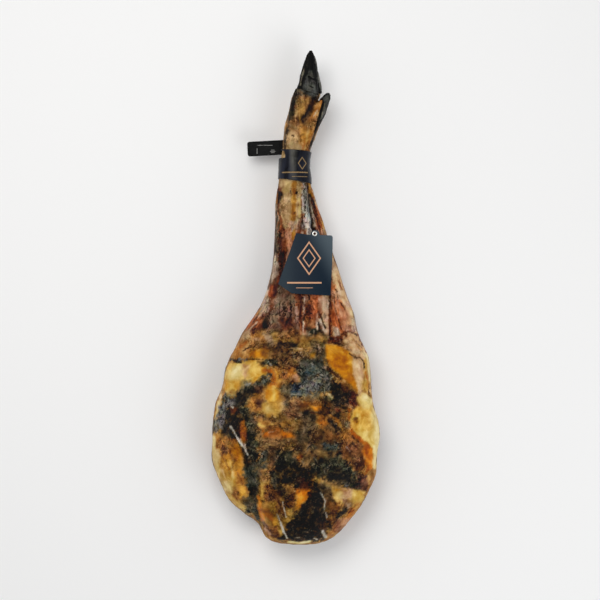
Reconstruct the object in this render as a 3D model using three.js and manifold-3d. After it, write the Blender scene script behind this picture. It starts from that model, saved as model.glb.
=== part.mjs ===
// A whole cured ham with its trotter, laid on its inner side with the outer side up.
// Millimetres, +Z up. The leg runs along Y, hoof at +Y and butt at -Y, and +X is the right
// of a viewer who looks down on it. The pieces are the leg with its skin and fat, four horn
// claws, a printed band round the ankle, a plastic seal strapped under the band, and a card
// tag with a metal eyelet that lies on the shank.
import * as THREE from 'three';
import Module from 'manifold-3d';

const wasm = await Module();
wasm.setup();

// Driving sizes of the whole ham
const BUTT_Y = -421;
const BUTT_ROUND = 52;
const BUTT_POWER = 2.5;
const ANKLE_TOP_Y = 338;
const FLOOR_Z = 0;
const GAP = 0.35;

// The leg's outline and thickness at stations from the butt to the toes. left and right are
// the edges seen from above, under and top the lowest and highest points.
const LEG_STATIONS = [
  { y: -421, left: -76, right: 90, under: 6, top: 97 },
  { y: -410, left: -66, right: 84.5, under: 5, top: 99 },
  { y: -400, left: -62, right: 85, under: 4, top: 100 },
  { y: -390, left: -62, right: 88, under: 4, top: 101 },
  { y: -380, left: -68, right: 92, under: 3, top: 102 },
  { y: -369, left: -84.5, right: 100, under: 3, top: 104 },
  { y: -358, left: -98, right: 109, under: 1, top: 107 },
  { y: -346, left: -110.5, right: 118, under: 0, top: 112 },
  { y: -328, left: -120.5, right: 126, under: -1, top: 116 },
  { y: -308, left: -129.5, right: 133, under: -3, top: 120 },
  { y: -277, left: -139, right: 140.5, under: -3, top: 123 },
  { y: -246, left: -142, right: 142.5, under: -3, top: 124 },
  { y: -216, left: -140, right: 140.5, under: -3, top: 123 },
  { y: -185, left: -135, right: 136, under: -3, top: 121 },
  { y: -154, left: -127, right: 131, under: -3, top: 118 },
  { y: -124, left: -118, right: 128.5, under: -2, top: 115 },
  { y: -103, left: -111, right: 127.5, under: -1, top: 112 },
  { y: -83, left: -101, right: 119.5, under: 0, top: 109 },
  { y: -62, left: -89, right: 110.5, under: 2, top: 106 },
  { y: -21, left: -62, right: 97.5, under: 7, top: 98 },
  { y: 0, left: -52, right: 90.5, under: 10, top: 95 },
  { y: 30, left: -43, right: 80.5, under: 15, top: 91 },
  { y: 61, left: -37, right: 70.5, under: 19, top: 87 },
  { y: 122, left: -33, right: 50.5, under: 27, top: 80 },
  { y: 163, left: -32, right: 36.5, under: 31, top: 78 },
  { y: 183, left: -29.5, right: 30.5, under: 33, top: 77 },
  { y: 214, left: -25.5, right: 24, under: 34, top: 76 },
  { y: 234, left: -24, right: 23, under: 34, top: 76 },
  { y: 265, left: -19, right: 32, under: 33, top: 78 },
  { y: 285, left: -17.9, right: 39.5, under: 32, top: 81 },
  { y: 297, left: -15.4, right: 41.5, under: 31, top: 82 },
  { y: 325, left: -7.2, right: 38, under: 30, top: 82 },
  { y: 338, left: -1.6, right: 37.5, under: 30, top: 82 },
];

// Where the widest line of a section lies between its lowest and its highest point
const WAIST_HEIGHT = 0.44;
const TOP_POWER = 2.1;
const UNDER_POWER = 2.2;
const BUTT_MIDDLE = { x: 7, z: 50 };
// The hidden half follows a smoother outline, averaged over this distance each way
const UNDER_SMOOTHING = 28;

// How finely the leg is divided: points round the shown half and the hidden half, and the
// ring spacing along the butt, the body, the shank and the foot
const TOP_STEPS = 42;
const UNDER_STEPS = 16;
const BUTT_RINGS = 7;
const BODY_STEP = 8.6;
const BODY_END_Y = -50;
const SHANK_STEP = 10.5;
const SHANK_END_Y = 190;
const FOOT_STEP = 12;

// Relief of the shown side: raised cords and sunken folds, each along its own line
const RELIEF_LINES = [
  { name: 'outer tendon', height: 3.2, reach: 4.5,
    path: [[11, 190], [15, 165], [20, 140], [24, 116], [28, 85], [36, 40], [39, 2], [45, -52]] },
  { name: 'inner tendon', height: 2.2, reach: 5,
    path: [[-2, 120], [2, 90], [8, 50], [12, 3], [16, -55]] },
  { name: 'fold beside the outer tendon', height: -5.5, reach: 3.6,
    path: [[24, 180], [27, 158], [32, 132], [38, 110], [46, 70], [54, 20], [60, -20]] },
  { name: 'edge of the ankle skin', height: -2.6, reach: 3.2,
    path: [[8.5, 185], [9, 160], [9.5, 140], [4, 122], [-4, 108]] },
  { name: 'hollow of the shin', height: -4.8, reach: 5.5,
    path: [[-17, 118], [-18, 85], [-20, 45], [-26, 10], [-35, -12]] },
  { name: 'shin ridge', height: 2.4, reach: 5,
    path: [[-27, 150], [-28, 110], [-30, 70], [-34, 30], [-44, -5]] },
  { name: 'upper fat fold', height: -4, reach: 5,
    path: [[-114, -106], [-86, -105], [-64, -110], [-40, -118]] },
  { name: 'long fold, upper part', height: -5, reach: 9,
    path: [[-42, -132], [-78, -152], [-104, -170], [-124, -194], [-118, -228]] },
  { name: 'long fold, lower part', height: -9, reach: 10,
    path: [[-98, -258], [-84, -290], [-76, -326], [-67, -356], [-60, -386]] },
  { name: 'right upper fold', height: -3.4, reach: 6,
    path: [[54, -78], [92, -92], [108, -112], [112, -150], [118, -180]] },
  { name: 'right lower fold', height: -4.5, reach: 9,
    path: [[118, -318], [92, -312], [64, -322], [52, -352], [46, -392]] },
  { name: 'middle crease', height: -3.6, reach: 6,
    path: [[-20, -345], [-24, -375], [-18, -402]] },
  { name: 'centre ridge', height: 3.5, reach: 14,
    path: [[-30, -150], [-26, -195], [0, -225], [40, -240]] },
];
const RELIEF_HOLLOWS = [
  { name: 'hollow over the joint', x: 64, y: -168, reach: 17, depth: 5.5 },
  { name: 'dark middle hollow', x: 22, y: -128, reach: 20, depth: 3.5 },
  { name: 'lower middle hollow', x: 0, y: -300, reach: 22, depth: 4 },
  { name: 'lower right hollow', x: 72, y: -285, reach: 20, depth: 3 },
];

// The fat cap starts below this wavy line, where the trimmed rind ends
const CAP_EDGE_Y = -72;
const CAP_STEP = 3.2;
const CAP_SLOPE = 14;

// Slow swells over the whole fat cap
const SWELL_HEIGHT = 2.2;

// Toes, claws and dewclaws, each a stack of oval sections along Y
const TOE_END_Y = 349;
const NEAR_TOE = [
  { y: 262, left: -8, right: 20, under: 60, top: 73 },
  { y: 285, left: -12, right: 29, under: 57, top: 79 },
  { y: 310, left: -10.2, right: 34, under: 56.8, top: 82 },
  { y: 330, left: -5, right: 36.6, under: 56.8, top: 83 },
  { y: 341, left: -1, right: 38.5, under: 56.8, top: 83.5 },
  { y: TOE_END_Y, left: 2.2, right: 39.6, under: 56.8, top: 83.5 },
];
const FAR_TOE = [
  { y: 262, left: -6, right: 22, under: 40, top: 53 },
  { y: 285, left: -10, right: 32, under: 34, top: 55 },
  { y: 310, left: -7, right: 37, under: 30, top: 55.2 },
  { y: 330, left: -3, right: 36.8, under: 29, top: 55.2 },
  { y: 341, left: 1, right: 41.4, under: 28.5, top: 55.2 },
  { y: TOE_END_Y, left: 4, right: 45, under: 28.5, top: 55.2 },
];
const NEAR_CLAW = [
  { y: TOE_END_Y + GAP, left: 3.2, right: 40.5, under: 56.8, top: 84 },
  { y: 362, left: 7.4, right: 40.2, under: 57, top: 83.5 },
  { y: 374, left: 9, right: 39.4, under: 57.6, top: 81.5 },
  { y: 388, left: 12.5, right: 37.2, under: 58.6, top: 78.5 },
  { y: 401, left: 16.6, right: 36, under: 60, top: 75.5 },
  { y: 412, left: 20.8, right: 33.4, under: 62, top: 72.5 },
  { y: 419.5, left: 25.5, right: 30, under: 64.5, top: 69 },
];
const FAR_CLAW = [
  { y: TOE_END_Y + GAP, left: 4.2, right: 47, under: 28.5, top: 55.2 },
  { y: 362, left: 8, right: 46.2, under: 29, top: 55 },
  { y: 374, left: 12, right: 43.8, under: 31, top: 54.4 },
  { y: 388, left: 16, right: 39.8, under: 34, top: 53.4 },
  { y: 401, left: 21, right: 38.4, under: 37.5, top: 52 },
  { y: 409, left: 26, right: 36.4, under: 41, top: 50 },
  { y: 413.5, left: 30, right: 34, under: 44, top: 48 },
];
const DEWCLAW = [
  { y: 268, left: 8, right: 24, under: -5, top: 5 },
  { y: 284, left: 18, right: 38, under: -8, top: 8 },
  { y: 299, left: 24.5, right: 45.6, under: -9.4, top: 9.4 },
  { y: 314, left: 31.5, right: 53.4, under: -9.6, top: 9.6 },
  { y: 328, left: 37.4, right: 57.6, under: -9, top: 9 },
  { y: 337, left: 43.2, right: 61, under: -8, top: 8 },
  { y: 343, left: 49.6, right: 61.2, under: -6.6, top: 6.6 },
  { y: 347, left: 53.6, right: 58.8, under: -2.8, top: 2.8 },
];
const DEWCLAW_HEIGHTS = { near: 71, far: 41 };
// The tip of the far dewclaw bends away from the near one
const DEWCLAW_BENDS = { near: 0, far: -3.4 };
const BEND_START_Y = 332;
// The horn of a dewclaw lies right of a slanted plane through this point, and over its tip
const HORN_PLANE = { x: 38.2, y: 299, lean: 15.5 };
const HORN_TIP_Y = 334;
// The border of skin and horn on the near toe falls by this much along X
const HORN_SLANT = { fall: 0.3, middle: 20, fromY: 285, toY: 412 };
const CLAW_STEPS = 18;
const TOE_STEPS = 24;
const TOE_POWER = 2.6;
const CLAW_POWER = 2.4;

// Printed band round the ankle
const BAND_SKIN = 0.6;
const BAND_STEPS = 30;
const BAND_RINGS = 5;
const BAND_TOP_POWER = 2.3;
const BAND_UNDER_POWER = 2.8;
const BAND_BOTTOM = { left: 203, right: 194 };
const BAND_TOP = { left: 253, right: 249.5 };
const BAND_SECTIONS = [
  { y: 190, left: -29, right: 31, under: 28.6, top: 80 },
  { y: 206, left: -28, right: 28.4, under: 28.4, top: 80 },
  { y: 224, left: -27.4, right: 25.8, under: 27.4, top: 80 },
  { y: 240, left: -26.8, right: 27, under: 27, top: 80.2 },
  { y: 256, left: -25.6, right: 31, under: 26.6, top: 81.4 },
];
// The wound end of the band is lower on the left, so its corner is cut away there
const BAND_NOTCH = { right: -19.6, bottom: 237.5 };

// Plastic seal: a plate and the strap that holds it round the ankle, under the band
const SEAL_PLATE = { length: 68, width: 25, thick: 2, corner: 4, x: -47, y: 256.4, z: 33.4, turn: 3 };
const SEAL_NECK = { length: 7, width: 34, thick: 2.6, x: -16.8, y: 240.5, z: 33.2 };
const SEAL_STRAP = { from: 224, to: 232, thick: 1, clear: 0.7, steps: 28 };

// Card tag: corners in order, corner radii, and the tab that holds the eyelet
const TAG_THICK = 0.9;
const TAG_CORNERS = [
  { x: -27.5, y: 22.8, round: 0.8 },
  { x: -4.4, y: 6.9, round: 0.8 },
  { x: 60.8, y: 3.2, round: 1.2 },
  { x: 63.8, y: 60, round: 1.2 },
  { x: 64.7, y: 105.1, round: 4.5 },
];
const TAG_TOP_LEFT = { x: 3, y: 108.9 };
const TAG_TAB = { x: 35, y: 106.6, radius: 7.4, rise: -1 };
const TAG_HOLE = { x: 34, y: 107.8 };
const TAG_HOLE_RADIUS = 2.9;
const TAG_MIDDLE = { x: 14, y: 60 };
const TAG_SLOPE = -0.128;
const TAG_BOW_RADIUS = 230;
const TAG_BOW_STEPS = 24;
const TAG_LIFT_MARGIN = 0.5;
// The sheet that the tag is cut from reaches past its outline by this much
const TAG_SPARE = 5;

// Metal eyelet through the tab
const EYELET = { flange: 4.4, bore: 2, barrel: 2.5, thick: 0.5, steps: 28 };

const COLOURS = {
  ham: 0xa07840,
  horn: 0x2b2a28,
  band: 0x2c2e3a,
  seal: 0x0c0d0e,
  tag: 0x16283a,
  eyelet: 0xd8d6d2,
};

function smoothstep(low, high, value) {
  const t = Math.min(1, Math.max(0, (value - low) / (high - low)));
  return t * t * (3 - 2 * t);
}

// A section between stations, by a cubic through them whose slopes come from the neighbours
function sectionAt(stations, y) {
  const last = stations.length - 1;
  let i = 0;
  while (i < last - 1 && y > stations[i + 1].y) i += 1;
  const [a, b] = [stations[i], stations[i + 1]];
  const span = b.y - a.y;
  const t = Math.min(1, Math.max(0, (y - a.y) / span));
  const slope = (j, key) => {
    const [before, after] = [stations[Math.max(0, j - 1)], stations[Math.min(last, j + 1)]];
    return (after[key] - before[key]) / (after.y - before.y);
  };
  const made = { y };
  for (const key of ['left', 'right', 'under', 'top']) {
    const [t2, t3] = [t * t, t * t * t];
    made[key] = (2 * t3 - 3 * t2 + 1) * a[key] + (t3 - 2 * t2 + t) * span * slope(i, key)
      + (3 * t2 - 2 * t3) * b[key] + (t3 - t2) * span * slope(i + 1, key);
  }
  return made;
}

// A point of an oval section. Angle 0 is the right edge and a quarter turn is the top.
function ovalPoint(section, angle, topPower = 2, underPower = 2, waist = 0.5) {
  const middleX = (section.left + section.right) / 2;
  const middleZ = section.under + waist * (section.top - section.under);
  const [c, s] = [Math.cos(angle), Math.sin(angle)];
  const power = s >= 0 ? topPower : underPower;
  const bend = (value) => Math.sign(value) * Math.abs(value) ** (2 / power);
  const height = s >= 0 ? section.top - middleZ : middleZ - section.under;
  return new THREE.Vector3(
    middleX + bend(c) * (section.right - section.left) / 2,
    section.y,
    middleZ + bend(s) * height,
  );
}

// A closed mesh over rings of points, all with the same number, its two ends filled by fans
function meshOverRings(rings) {
  const around = rings[0].length;
  const points = rings.flat();
  const faces = [];
  for (let r = 0; r + 1 < rings.length; r += 1) {
    for (let k = 0; k < around; k += 1) {
      const [a, b] = [r * around + k, r * around + (k + 1) % around];
      faces.push(a, a + around, b, b, a + around, b + around);
    }
  }
  const addEnd = (first, flip) => {
    const middle = new THREE.Vector3();
    for (let k = 0; k < around; k += 1) middle.addScaledVector(points[first + k], 1 / around);
    const centre = points.push(middle) - 1;
    for (let k = 0; k < around; k += 1) {
      const [a, b] = [first + k, first + (k + 1) % around];
      faces.push(...(flip ? [centre, b, a] : [centre, a, b]));
    }
  };
  addEnd(0, false);
  addEnd((rings.length - 1) * around, true);
  return new THREE.BufferGeometry().setFromPoints(points).setIndex(faces);
}

function ovalStack(stations, steps, power = 2.3) {
  return meshOverRings(stations.map((section) => Array.from({ length: steps }, (_, k) =>
    ovalPoint(section, (2 * Math.PI * k) / steps, power, power))));
}

// How far a point is from a line of points, seen from above
function distanceToPath(x, y, path) {
  let nearest = Infinity;
  for (let i = 0; i + 1 < path.length; i += 1) {
    const [[ax, ay], [bx, by]] = [path[i], path[i + 1]];
    const [dx, dy] = [bx - ax, by - ay];
    const t = Math.min(1, Math.max(0, ((x - ax) * dx + (y - ay) * dy) / (dx * dx + dy * dy)));
    nearest = Math.min(nearest, Math.hypot(x - ax - t * dx, y - ay - t * dy));
  }
  return nearest;
}

// The wavy line where the fat cap begins
function capEdge(x) {
  return CAP_EDGE_Y + 5 * Math.sin(x / 17) + 3 * Math.sin(x / 7.5 + 1) - 0.0006 * x * x;
}

// Height of the relief at a place of the shown side
function relief(x, y) {
  let height = 0;
  const bell = (distance, reach) => Math.exp(-((distance / reach) ** 2));
  for (const line of RELIEF_LINES) {
    height += line.height * bell(distanceToPath(x, y, line.path), line.reach);
  }
  for (const hollow of RELIEF_HOLLOWS) {
    height -= hollow.depth * bell(Math.hypot(x - hollow.x, y - hollow.y), hollow.reach);
  }
  const onCap = smoothstep(0, CAP_SLOPE, capEdge(x) - y);
  return height + onCap * CAP_STEP;
}

// Slow swells of the meat under the fat, over both sides
function swell(x, y, z) {
  return SWELL_HEIGHT * (Math.sin(x / 19 + y / 37) * Math.sin(y / 23 - x / 41 + z / 30)
    + 0.6 * Math.sin(y / 13 + z / 17) * Math.cos(x / 12 - z / 29));
}

// How much the butt's rounding has pulled a ring in towards its middle, from 1 to 0
function buttScale(y) {
  const along = Math.min(1, Math.max(0, (BUTT_Y + BUTT_ROUND - y) / BUTT_ROUND));
  return (1 - along ** BUTT_POWER) ** (1 / BUTT_POWER);
}

// The leg's section at y. Below the waist, low is 1 and the outline is the smoother one.
function legSection(y, low) {
  const here = sectionAt(LEG_STATIONS, y);
  const [before, after] = [y - UNDER_SMOOTHING, y + UNDER_SMOOTHING]
    .map((place) => sectionAt(LEG_STATIONS, place));
  for (const key of ['left', 'right']) {
    here[key] += low * ((before[key] + 2 * here[key] + after[key]) / 4 - here[key]);
  }
  return here;
}

function legPoint(y, angle) {
  const onBody = smoothstep(SHANK_END_Y, BODY_END_Y, y);
  const section = legSection(y, onBody * smoothstep(0, -0.8, Math.sin(angle)));
  const point = ovalPoint(section, angle, TOP_POWER, UNDER_POWER, WAIST_HEIGHT);
  const bandAndFoot = smoothstep(200, 182, y);
  const shown = smoothstep(0, 0.35, Math.sin(angle));
  const lift = bandAndFoot * (shown * relief(point.x, y)
    + smoothstep(40, -110, y) * swell(point.x, y, point.z));
  const outward = new THREE.Vector3(
    Math.cos(angle) / (section.right - section.left), 0,
    Math.sin(angle) / (section.top - section.under),
  ).normalize();
  point.addScaledVector(outward, lift);
  const scale = buttScale(y);
  point.x = BUTT_MIDDLE.x + (point.x - BUTT_MIDDLE.x) * scale;
  point.z = BUTT_MIDDLE.z + (point.z - BUTT_MIDDLE.z) * scale;
  point.z = Math.max(point.z, FLOOR_Z);
  return point;
}

// Angles round a section, closer together on the shown side
function legAngles() {
  const top = Array.from({ length: TOP_STEPS }, (_, k) => (Math.PI * k) / TOP_STEPS);
  const under = Array.from({ length: UNDER_STEPS },
    (_, k) => Math.PI + (Math.PI * k) / UNDER_STEPS);
  return [...top, ...under];
}

function legRingPlaces() {
  const places = [];
  for (let k = 0; k < BUTT_RINGS; k += 1) {
    const turn = (Math.PI / 2) * ((k + 0.35) / BUTT_RINGS);
    places.push(BUTT_Y + BUTT_ROUND * (1 - Math.cos(turn)));
  }
  const stretches = [
    [BUTT_Y + BUTT_ROUND, BODY_END_Y, BODY_STEP],
    [BODY_END_Y, SHANK_END_Y, SHANK_STEP],
    [SHANK_END_Y, ANKLE_TOP_Y, FOOT_STEP],
  ];
  for (const [from, to, step] of stretches) {
    const count = Math.round((to - from) / step);
    for (let k = 0; k < count; k += 1) places.push(from + ((to - from) * k) / count);
  }
  return [...places, ANKLE_TOP_Y];
}

function legGeometry() {
  const angles = legAngles();
  return meshOverRings(legRingPlaces().map((y) => angles.map((angle) => legPoint(y, angle))));
}

function toSolid(geometry) {
  return new wasm.Manifold(new wasm.Mesh({
    numProp: 3,
    vertProperties: new Float32Array(geometry.getAttribute('position').array),
    triVerts: new Uint32Array(geometry.index.array),
  }));
}

function fromSolid(solid) {
  const { vertProperties, triVerts } = solid.getMesh();
  const made = new THREE.BufferGeometry();
  made.setAttribute('position', new THREE.BufferAttribute(new Float32Array(vertProperties), 3));
  made.setIndex([...triVerts]);
  return made;
}

// A three.js geometry with its corners merged, which a solid needs
function mergedSolid(geometry) {
  const bare = geometry.index ? geometry.toNonIndexed() : geometry.clone();
  const position = bare.getAttribute('position');
  const seen = new Map();
  const points = [];
  const faces = [];
  for (let i = 0; i < position.count; i += 1) {
    const point = new THREE.Vector3().fromBufferAttribute(position, i);
    const key = point.toArray().map((value) => Math.round(value * 1000)).join();
    if (!seen.has(key)) seen.set(key, points.push(point) - 1);
    faces.push(seen.get(key));
  }
  return toSolid(new THREE.BufferGeometry().setFromPoints(points).setIndex(faces));
}

// Slants the near border of skin and horn, by moving points along Y with their place along X
function slanted(geometry) {
  const { fall, middle, fromY, toY } = HORN_SLANT;
  const position = geometry.getAttribute('position');
  for (let i = 0; i < position.count; i += 1) {
    const [x, y] = [position.getX(i), position.getY(i)];
    const strength = smoothstep(fromY, TOE_END_Y, y) * smoothstep(toY, TOE_END_Y, y);
    position.setY(i, y - fall * strength * (x - middle));
  }
  return geometry;
}

// The place of a dewclaw's horn: right of its slanted plane or over its tip, moved by shift
function hornPlace(height, shift) {
  const size = 160;
  const right = new THREE.BoxGeometry(size, size, size);
  right.translate(size / 2 + shift, 0, 0);
  right.rotateZ(-THREE.MathUtils.degToRad(HORN_PLANE.lean));
  right.translate(HORN_PLANE.x, HORN_PLANE.y, height);
  const tip = new THREE.BoxGeometry(size, size, size);
  tip.translate(HORN_PLANE.x, HORN_TIP_Y + size / 2 + shift, height);
  return mergedSolid(right).add(mergedSolid(tip));
}

function dewclawSolid(side) {
  const geometry = ovalStack(DEWCLAW, CLAW_STEPS).translate(0, 0, DEWCLAW_HEIGHTS[side]);
  const position = geometry.getAttribute('position');
  const endY = DEWCLAW[DEWCLAW.length - 1].y;
  for (let i = 0; i < position.count; i += 1) {
    const bend = DEWCLAW_BENDS[side] * smoothstep(BEND_START_Y, endY, position.getY(i));
    position.setX(i, position.getX(i) + bend);
  }
  return toSolid(geometry);
}

function hamGeometry() {
  let solid = toSolid(legGeometry());
  solid = solid.add(toSolid(slanted(ovalStack(NEAR_TOE, TOE_STEPS, TOE_POWER))));
  solid = solid.add(toSolid(ovalStack(FAR_TOE, TOE_STEPS, TOE_POWER)));
  for (const [side, height] of Object.entries(DEWCLAW_HEIGHTS)) {
    const dewclaw = dewclawSolid(side);
    const place = hornPlace(height, -GAP);
    solid = solid.add(dewclaw.subtract(place)).subtract(dewclaw.intersect(place));
  }
  return fromSolid(solid);
}

// The horn of a dewclaw, clear of the foot that it grows from
function dewclawHornGeometry(side, foot) {
  const horn = dewclawSolid(side).intersect(hornPlace(DEWCLAW_HEIGHTS[side], 0));
  return fromSolid(horn.subtract(foot));
}

// A closed sleeve between two surfaces that share their rings and angles
function sleeveGeometry(inner, outer) {
  const rings = inner.length;
  const around = inner[0].length;
  const points = [...inner.flat(), ...outer.flat()];
  const faces = [];
  const addQuad = (a, b, c, d) => faces.push(a, b, c, a, c, d);
  const offset = rings * around;
  for (let r = 0; r + 1 < rings; r += 1) {
    for (let k = 0; k < around; k += 1) {
      const [a, b] = [r * around + k, r * around + (k + 1) % around];
      addQuad(a, b, b + around, a + around);
      addQuad(offset + a, offset + a + around, offset + b + around, offset + b);
    }
  }
  for (let k = 0; k < around; k += 1) {
    const next = (k + 1) % around;
    addQuad(k, offset + k, offset + next, next);
    const end = (rings - 1) * around;
    addQuad(end + k, end + next, offset + end + next, offset + end + k);
  }
  return new THREE.BufferGeometry().setFromPoints(points).setIndex(faces);
}

function grown(section, by) {
  return {
    y: section.y, left: section.left - by, right: section.right + by,
    under: section.under - by, top: section.top + by,
  };
}

// One surface of the band: its edges slant, so each point's place along Y follows its X
function bandSurface(grow) {
  return Array.from({ length: BAND_RINGS }, (_, r) => Array.from({ length: BAND_STEPS }, (_k, k) => {
    const angle = (2 * Math.PI * k) / BAND_STEPS;
    const rightness = (1 + Math.cos(angle)) / 2;
    const low = BAND_BOTTOM.left + (BAND_BOTTOM.right - BAND_BOTTOM.left) * rightness;
    const high = BAND_TOP.left + (BAND_TOP.right - BAND_TOP.left) * rightness;
    const y = low + ((high - low) * r) / (BAND_RINGS - 1);
    const section = grown(sectionAt(BAND_SECTIONS, y), grow);
    return ovalPoint(section, angle, BAND_TOP_POWER, BAND_UNDER_POWER, WAIST_HEIGHT);
  }));
}

function bandGeometry() {
  const sleeve = toSolid(sleeveGeometry(bandSurface(0), bandSurface(BAND_SKIN)));
  const size = 120;
  const notch = new THREE.BoxGeometry(size, size, size);
  notch.translate(BAND_NOTCH.right - size / 2, BAND_NOTCH.bottom + size / 2, size / 2);
  return fromSolid(sleeve.subtract(mergedSolid(notch)));
}

function roundedPlate({ length, width, thick, corner }) {
  const [w, h] = [length / 2, width / 2];
  const outline = new THREE.Shape();
  outline.moveTo(-w + corner, -h);
  outline.lineTo(w - corner, -h).absarc(w - corner, -h + corner, corner, -Math.PI / 2, 0);
  outline.lineTo(w, h - corner).absarc(w - corner, h - corner, corner, 0, Math.PI / 2);
  outline.lineTo(-w + corner, h).absarc(-w + corner, h - corner, corner, Math.PI / 2, Math.PI);
  outline.lineTo(-w, -h + corner);
  outline.absarc(-w + corner, -h + corner, corner, Math.PI, 1.5 * Math.PI);
  return new THREE.ExtrudeGeometry(outline, { depth: thick, bevelEnabled: false, curveSegments: 5 });
}

function strapSurface(grow) {
  const { from, to, steps } = SEAL_STRAP;
  return [from, (from + to) / 2, to].map((y) => Array.from({ length: steps }, (_, k) =>
    ovalPoint(grown(sectionAt(LEG_STATIONS, y), grow), (2 * Math.PI * k) / steps,
      TOP_POWER, UNDER_POWER, WAIST_HEIGHT)));
}

function sealGeometry() {
  const plate = roundedPlate(SEAL_PLATE);
  plate.translate(0, 0, -SEAL_PLATE.thick / 2);
  plate.rotateZ(THREE.MathUtils.degToRad(SEAL_PLATE.turn));
  plate.translate(SEAL_PLATE.x, SEAL_PLATE.y, SEAL_PLATE.z);
  const neck = new THREE.BoxGeometry(SEAL_NECK.length, SEAL_NECK.width, SEAL_NECK.thick);
  neck.translate(SEAL_NECK.x, SEAL_NECK.y, SEAL_NECK.z);
  const { clear, thick } = SEAL_STRAP;
  const strap = toSolid(sleeveGeometry(strapSurface(clear), strapSurface(clear + thick)));
  return fromSolid(strap.add(mergedSolid(plate)).add(mergedSolid(neck)));
}

// Height of the tag's middle surface over its own middle, bowed across the shank
function tagShape(x, y) {
  return TAG_SLOPE * (y - TAG_MIDDLE.y) - (x - TAG_MIDDLE.x) ** 2 / (2 * TAG_BOW_RADIUS);
}

function tagOutline() {
  const outline = new THREE.Shape();
  outline.moveTo(TAG_TOP_LEFT.x, TAG_TOP_LEFT.y);
  const corners = TAG_CORNERS.map(({ x, y }) => new THREE.Vector2(x, y));
  const before = (i) => (i ? corners[i - 1] : new THREE.Vector2(TAG_TOP_LEFT.x, TAG_TOP_LEFT.y));
  const tabRight = new THREE.Vector2(TAG_TAB.x + TAG_TAB.radius, TAG_TAB.y + TAG_TAB.rise);
  const after = (i) => corners[i + 1] ?? tabRight;
  corners.forEach((corner, i) => {
    const { round } = TAG_CORNERS[i];
    const enter = before(i).clone().sub(corner).setLength(round).add(corner);
    const leave = after(i).clone().sub(corner).setLength(round).add(corner);
    outline.lineTo(enter.x, enter.y);
    outline.quadraticCurveTo(corner.x, corner.y, leave.x, leave.y);
  });
  outline.lineTo(tabRight.x, tabRight.y);
  const start = Math.asin(TAG_TAB.rise / TAG_TAB.radius);
  outline.absarc(TAG_TAB.x, TAG_TAB.y, TAG_TAB.radius, start, Math.PI - start, false);
  outline.lineTo(TAG_TOP_LEFT.x, TAG_TOP_LEFT.y);
  const hole = new THREE.Path();
  hole.absarc(TAG_HOLE.x, TAG_HOLE.y, TAG_HOLE_RADIUS, 0, 2 * Math.PI, true);
  outline.holes.push(hole);
  return outline;
}

// The height that lets the bowed tag touch the shank with a small gap and cut nothing
function tagLift(leg) {
  const position = leg.getAttribute('position');
  const box = new THREE.Box2().setFromPoints(tagOutline().getPoints()).expandByScalar(TAG_SPARE);
  let lift = 0;
  for (let i = 0; i < position.count; i += 1) {
    const [x, y, z] = [position.getX(i), position.getY(i), position.getZ(i)];
    const covered = box.containsPoint(new THREE.Vector2(x, y));
    if (covered) lift = Math.max(lift, z - tagShape(x, y));
  }
  return lift + TAG_THICK / 2 + TAG_LIFT_MARGIN;
}

function tagGeometry(lift) {
  const box = new THREE.Box2().setFromPoints(tagOutline().getPoints());
  const size = box.getSize(new THREE.Vector2()).addScalar(2 * TAG_SPARE);
  const middle = box.getCenter(new THREE.Vector2());
  const sheet = new THREE.BoxGeometry(size.x, size.y, TAG_THICK, TAG_BOW_STEPS, 1, 1);
  sheet.translate(middle.x, middle.y, 0);
  const position = sheet.getAttribute('position');
  for (let i = 0; i < position.count; i += 1) {
    const [x, y] = [position.getX(i), position.getY(i)];
    position.setZ(i, position.getZ(i) + lift + tagShape(x, y));
  }
  const cutter = new THREE.ExtrudeGeometry(tagOutline(),
    { depth: 2 * lift, bevelEnabled: false, curveSegments: 14 });
  return fromSolid(mergedSolid(sheet).intersect(mergedSolid(cutter)));
}

// The eyelet's half section: a barrel with a flange above and a rolled flange below the card
function eyeletGeometry() {
  const { flange, bore, barrel, thick, steps } = EYELET;
  const face = TAG_THICK / 2 + GAP;
  const profile = [
    [bore, -face - thick], [flange - 0.9, -face - thick], [flange - 0.6, -face - thick / 2],
    [flange - 0.9, -face], [barrel, -face], [barrel, face], [flange, face],
    [flange, face + thick * 0.5], [flange - 0.8, face + thick * 1.3], [bore + 0.5, face + thick * 1.3],
    [bore, face + thick * 0.6], [bore, -face - thick],
  ].map(([x, y]) => new THREE.Vector2(x, y));
  return new THREE.LatheGeometry(profile, steps).rotateX(Math.PI / 2);
}

function addMesh(parent, name, geometry, colour, roughness, metalness = 0) {
  const material = new THREE.MeshStandardMaterial({ color: colour, roughness, metalness });
  geometry.computeVertexNormals();
  const mesh = new THREE.Mesh(geometry, material);
  mesh.name = name;
  parent.add(mesh);
  return mesh;
}

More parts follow.
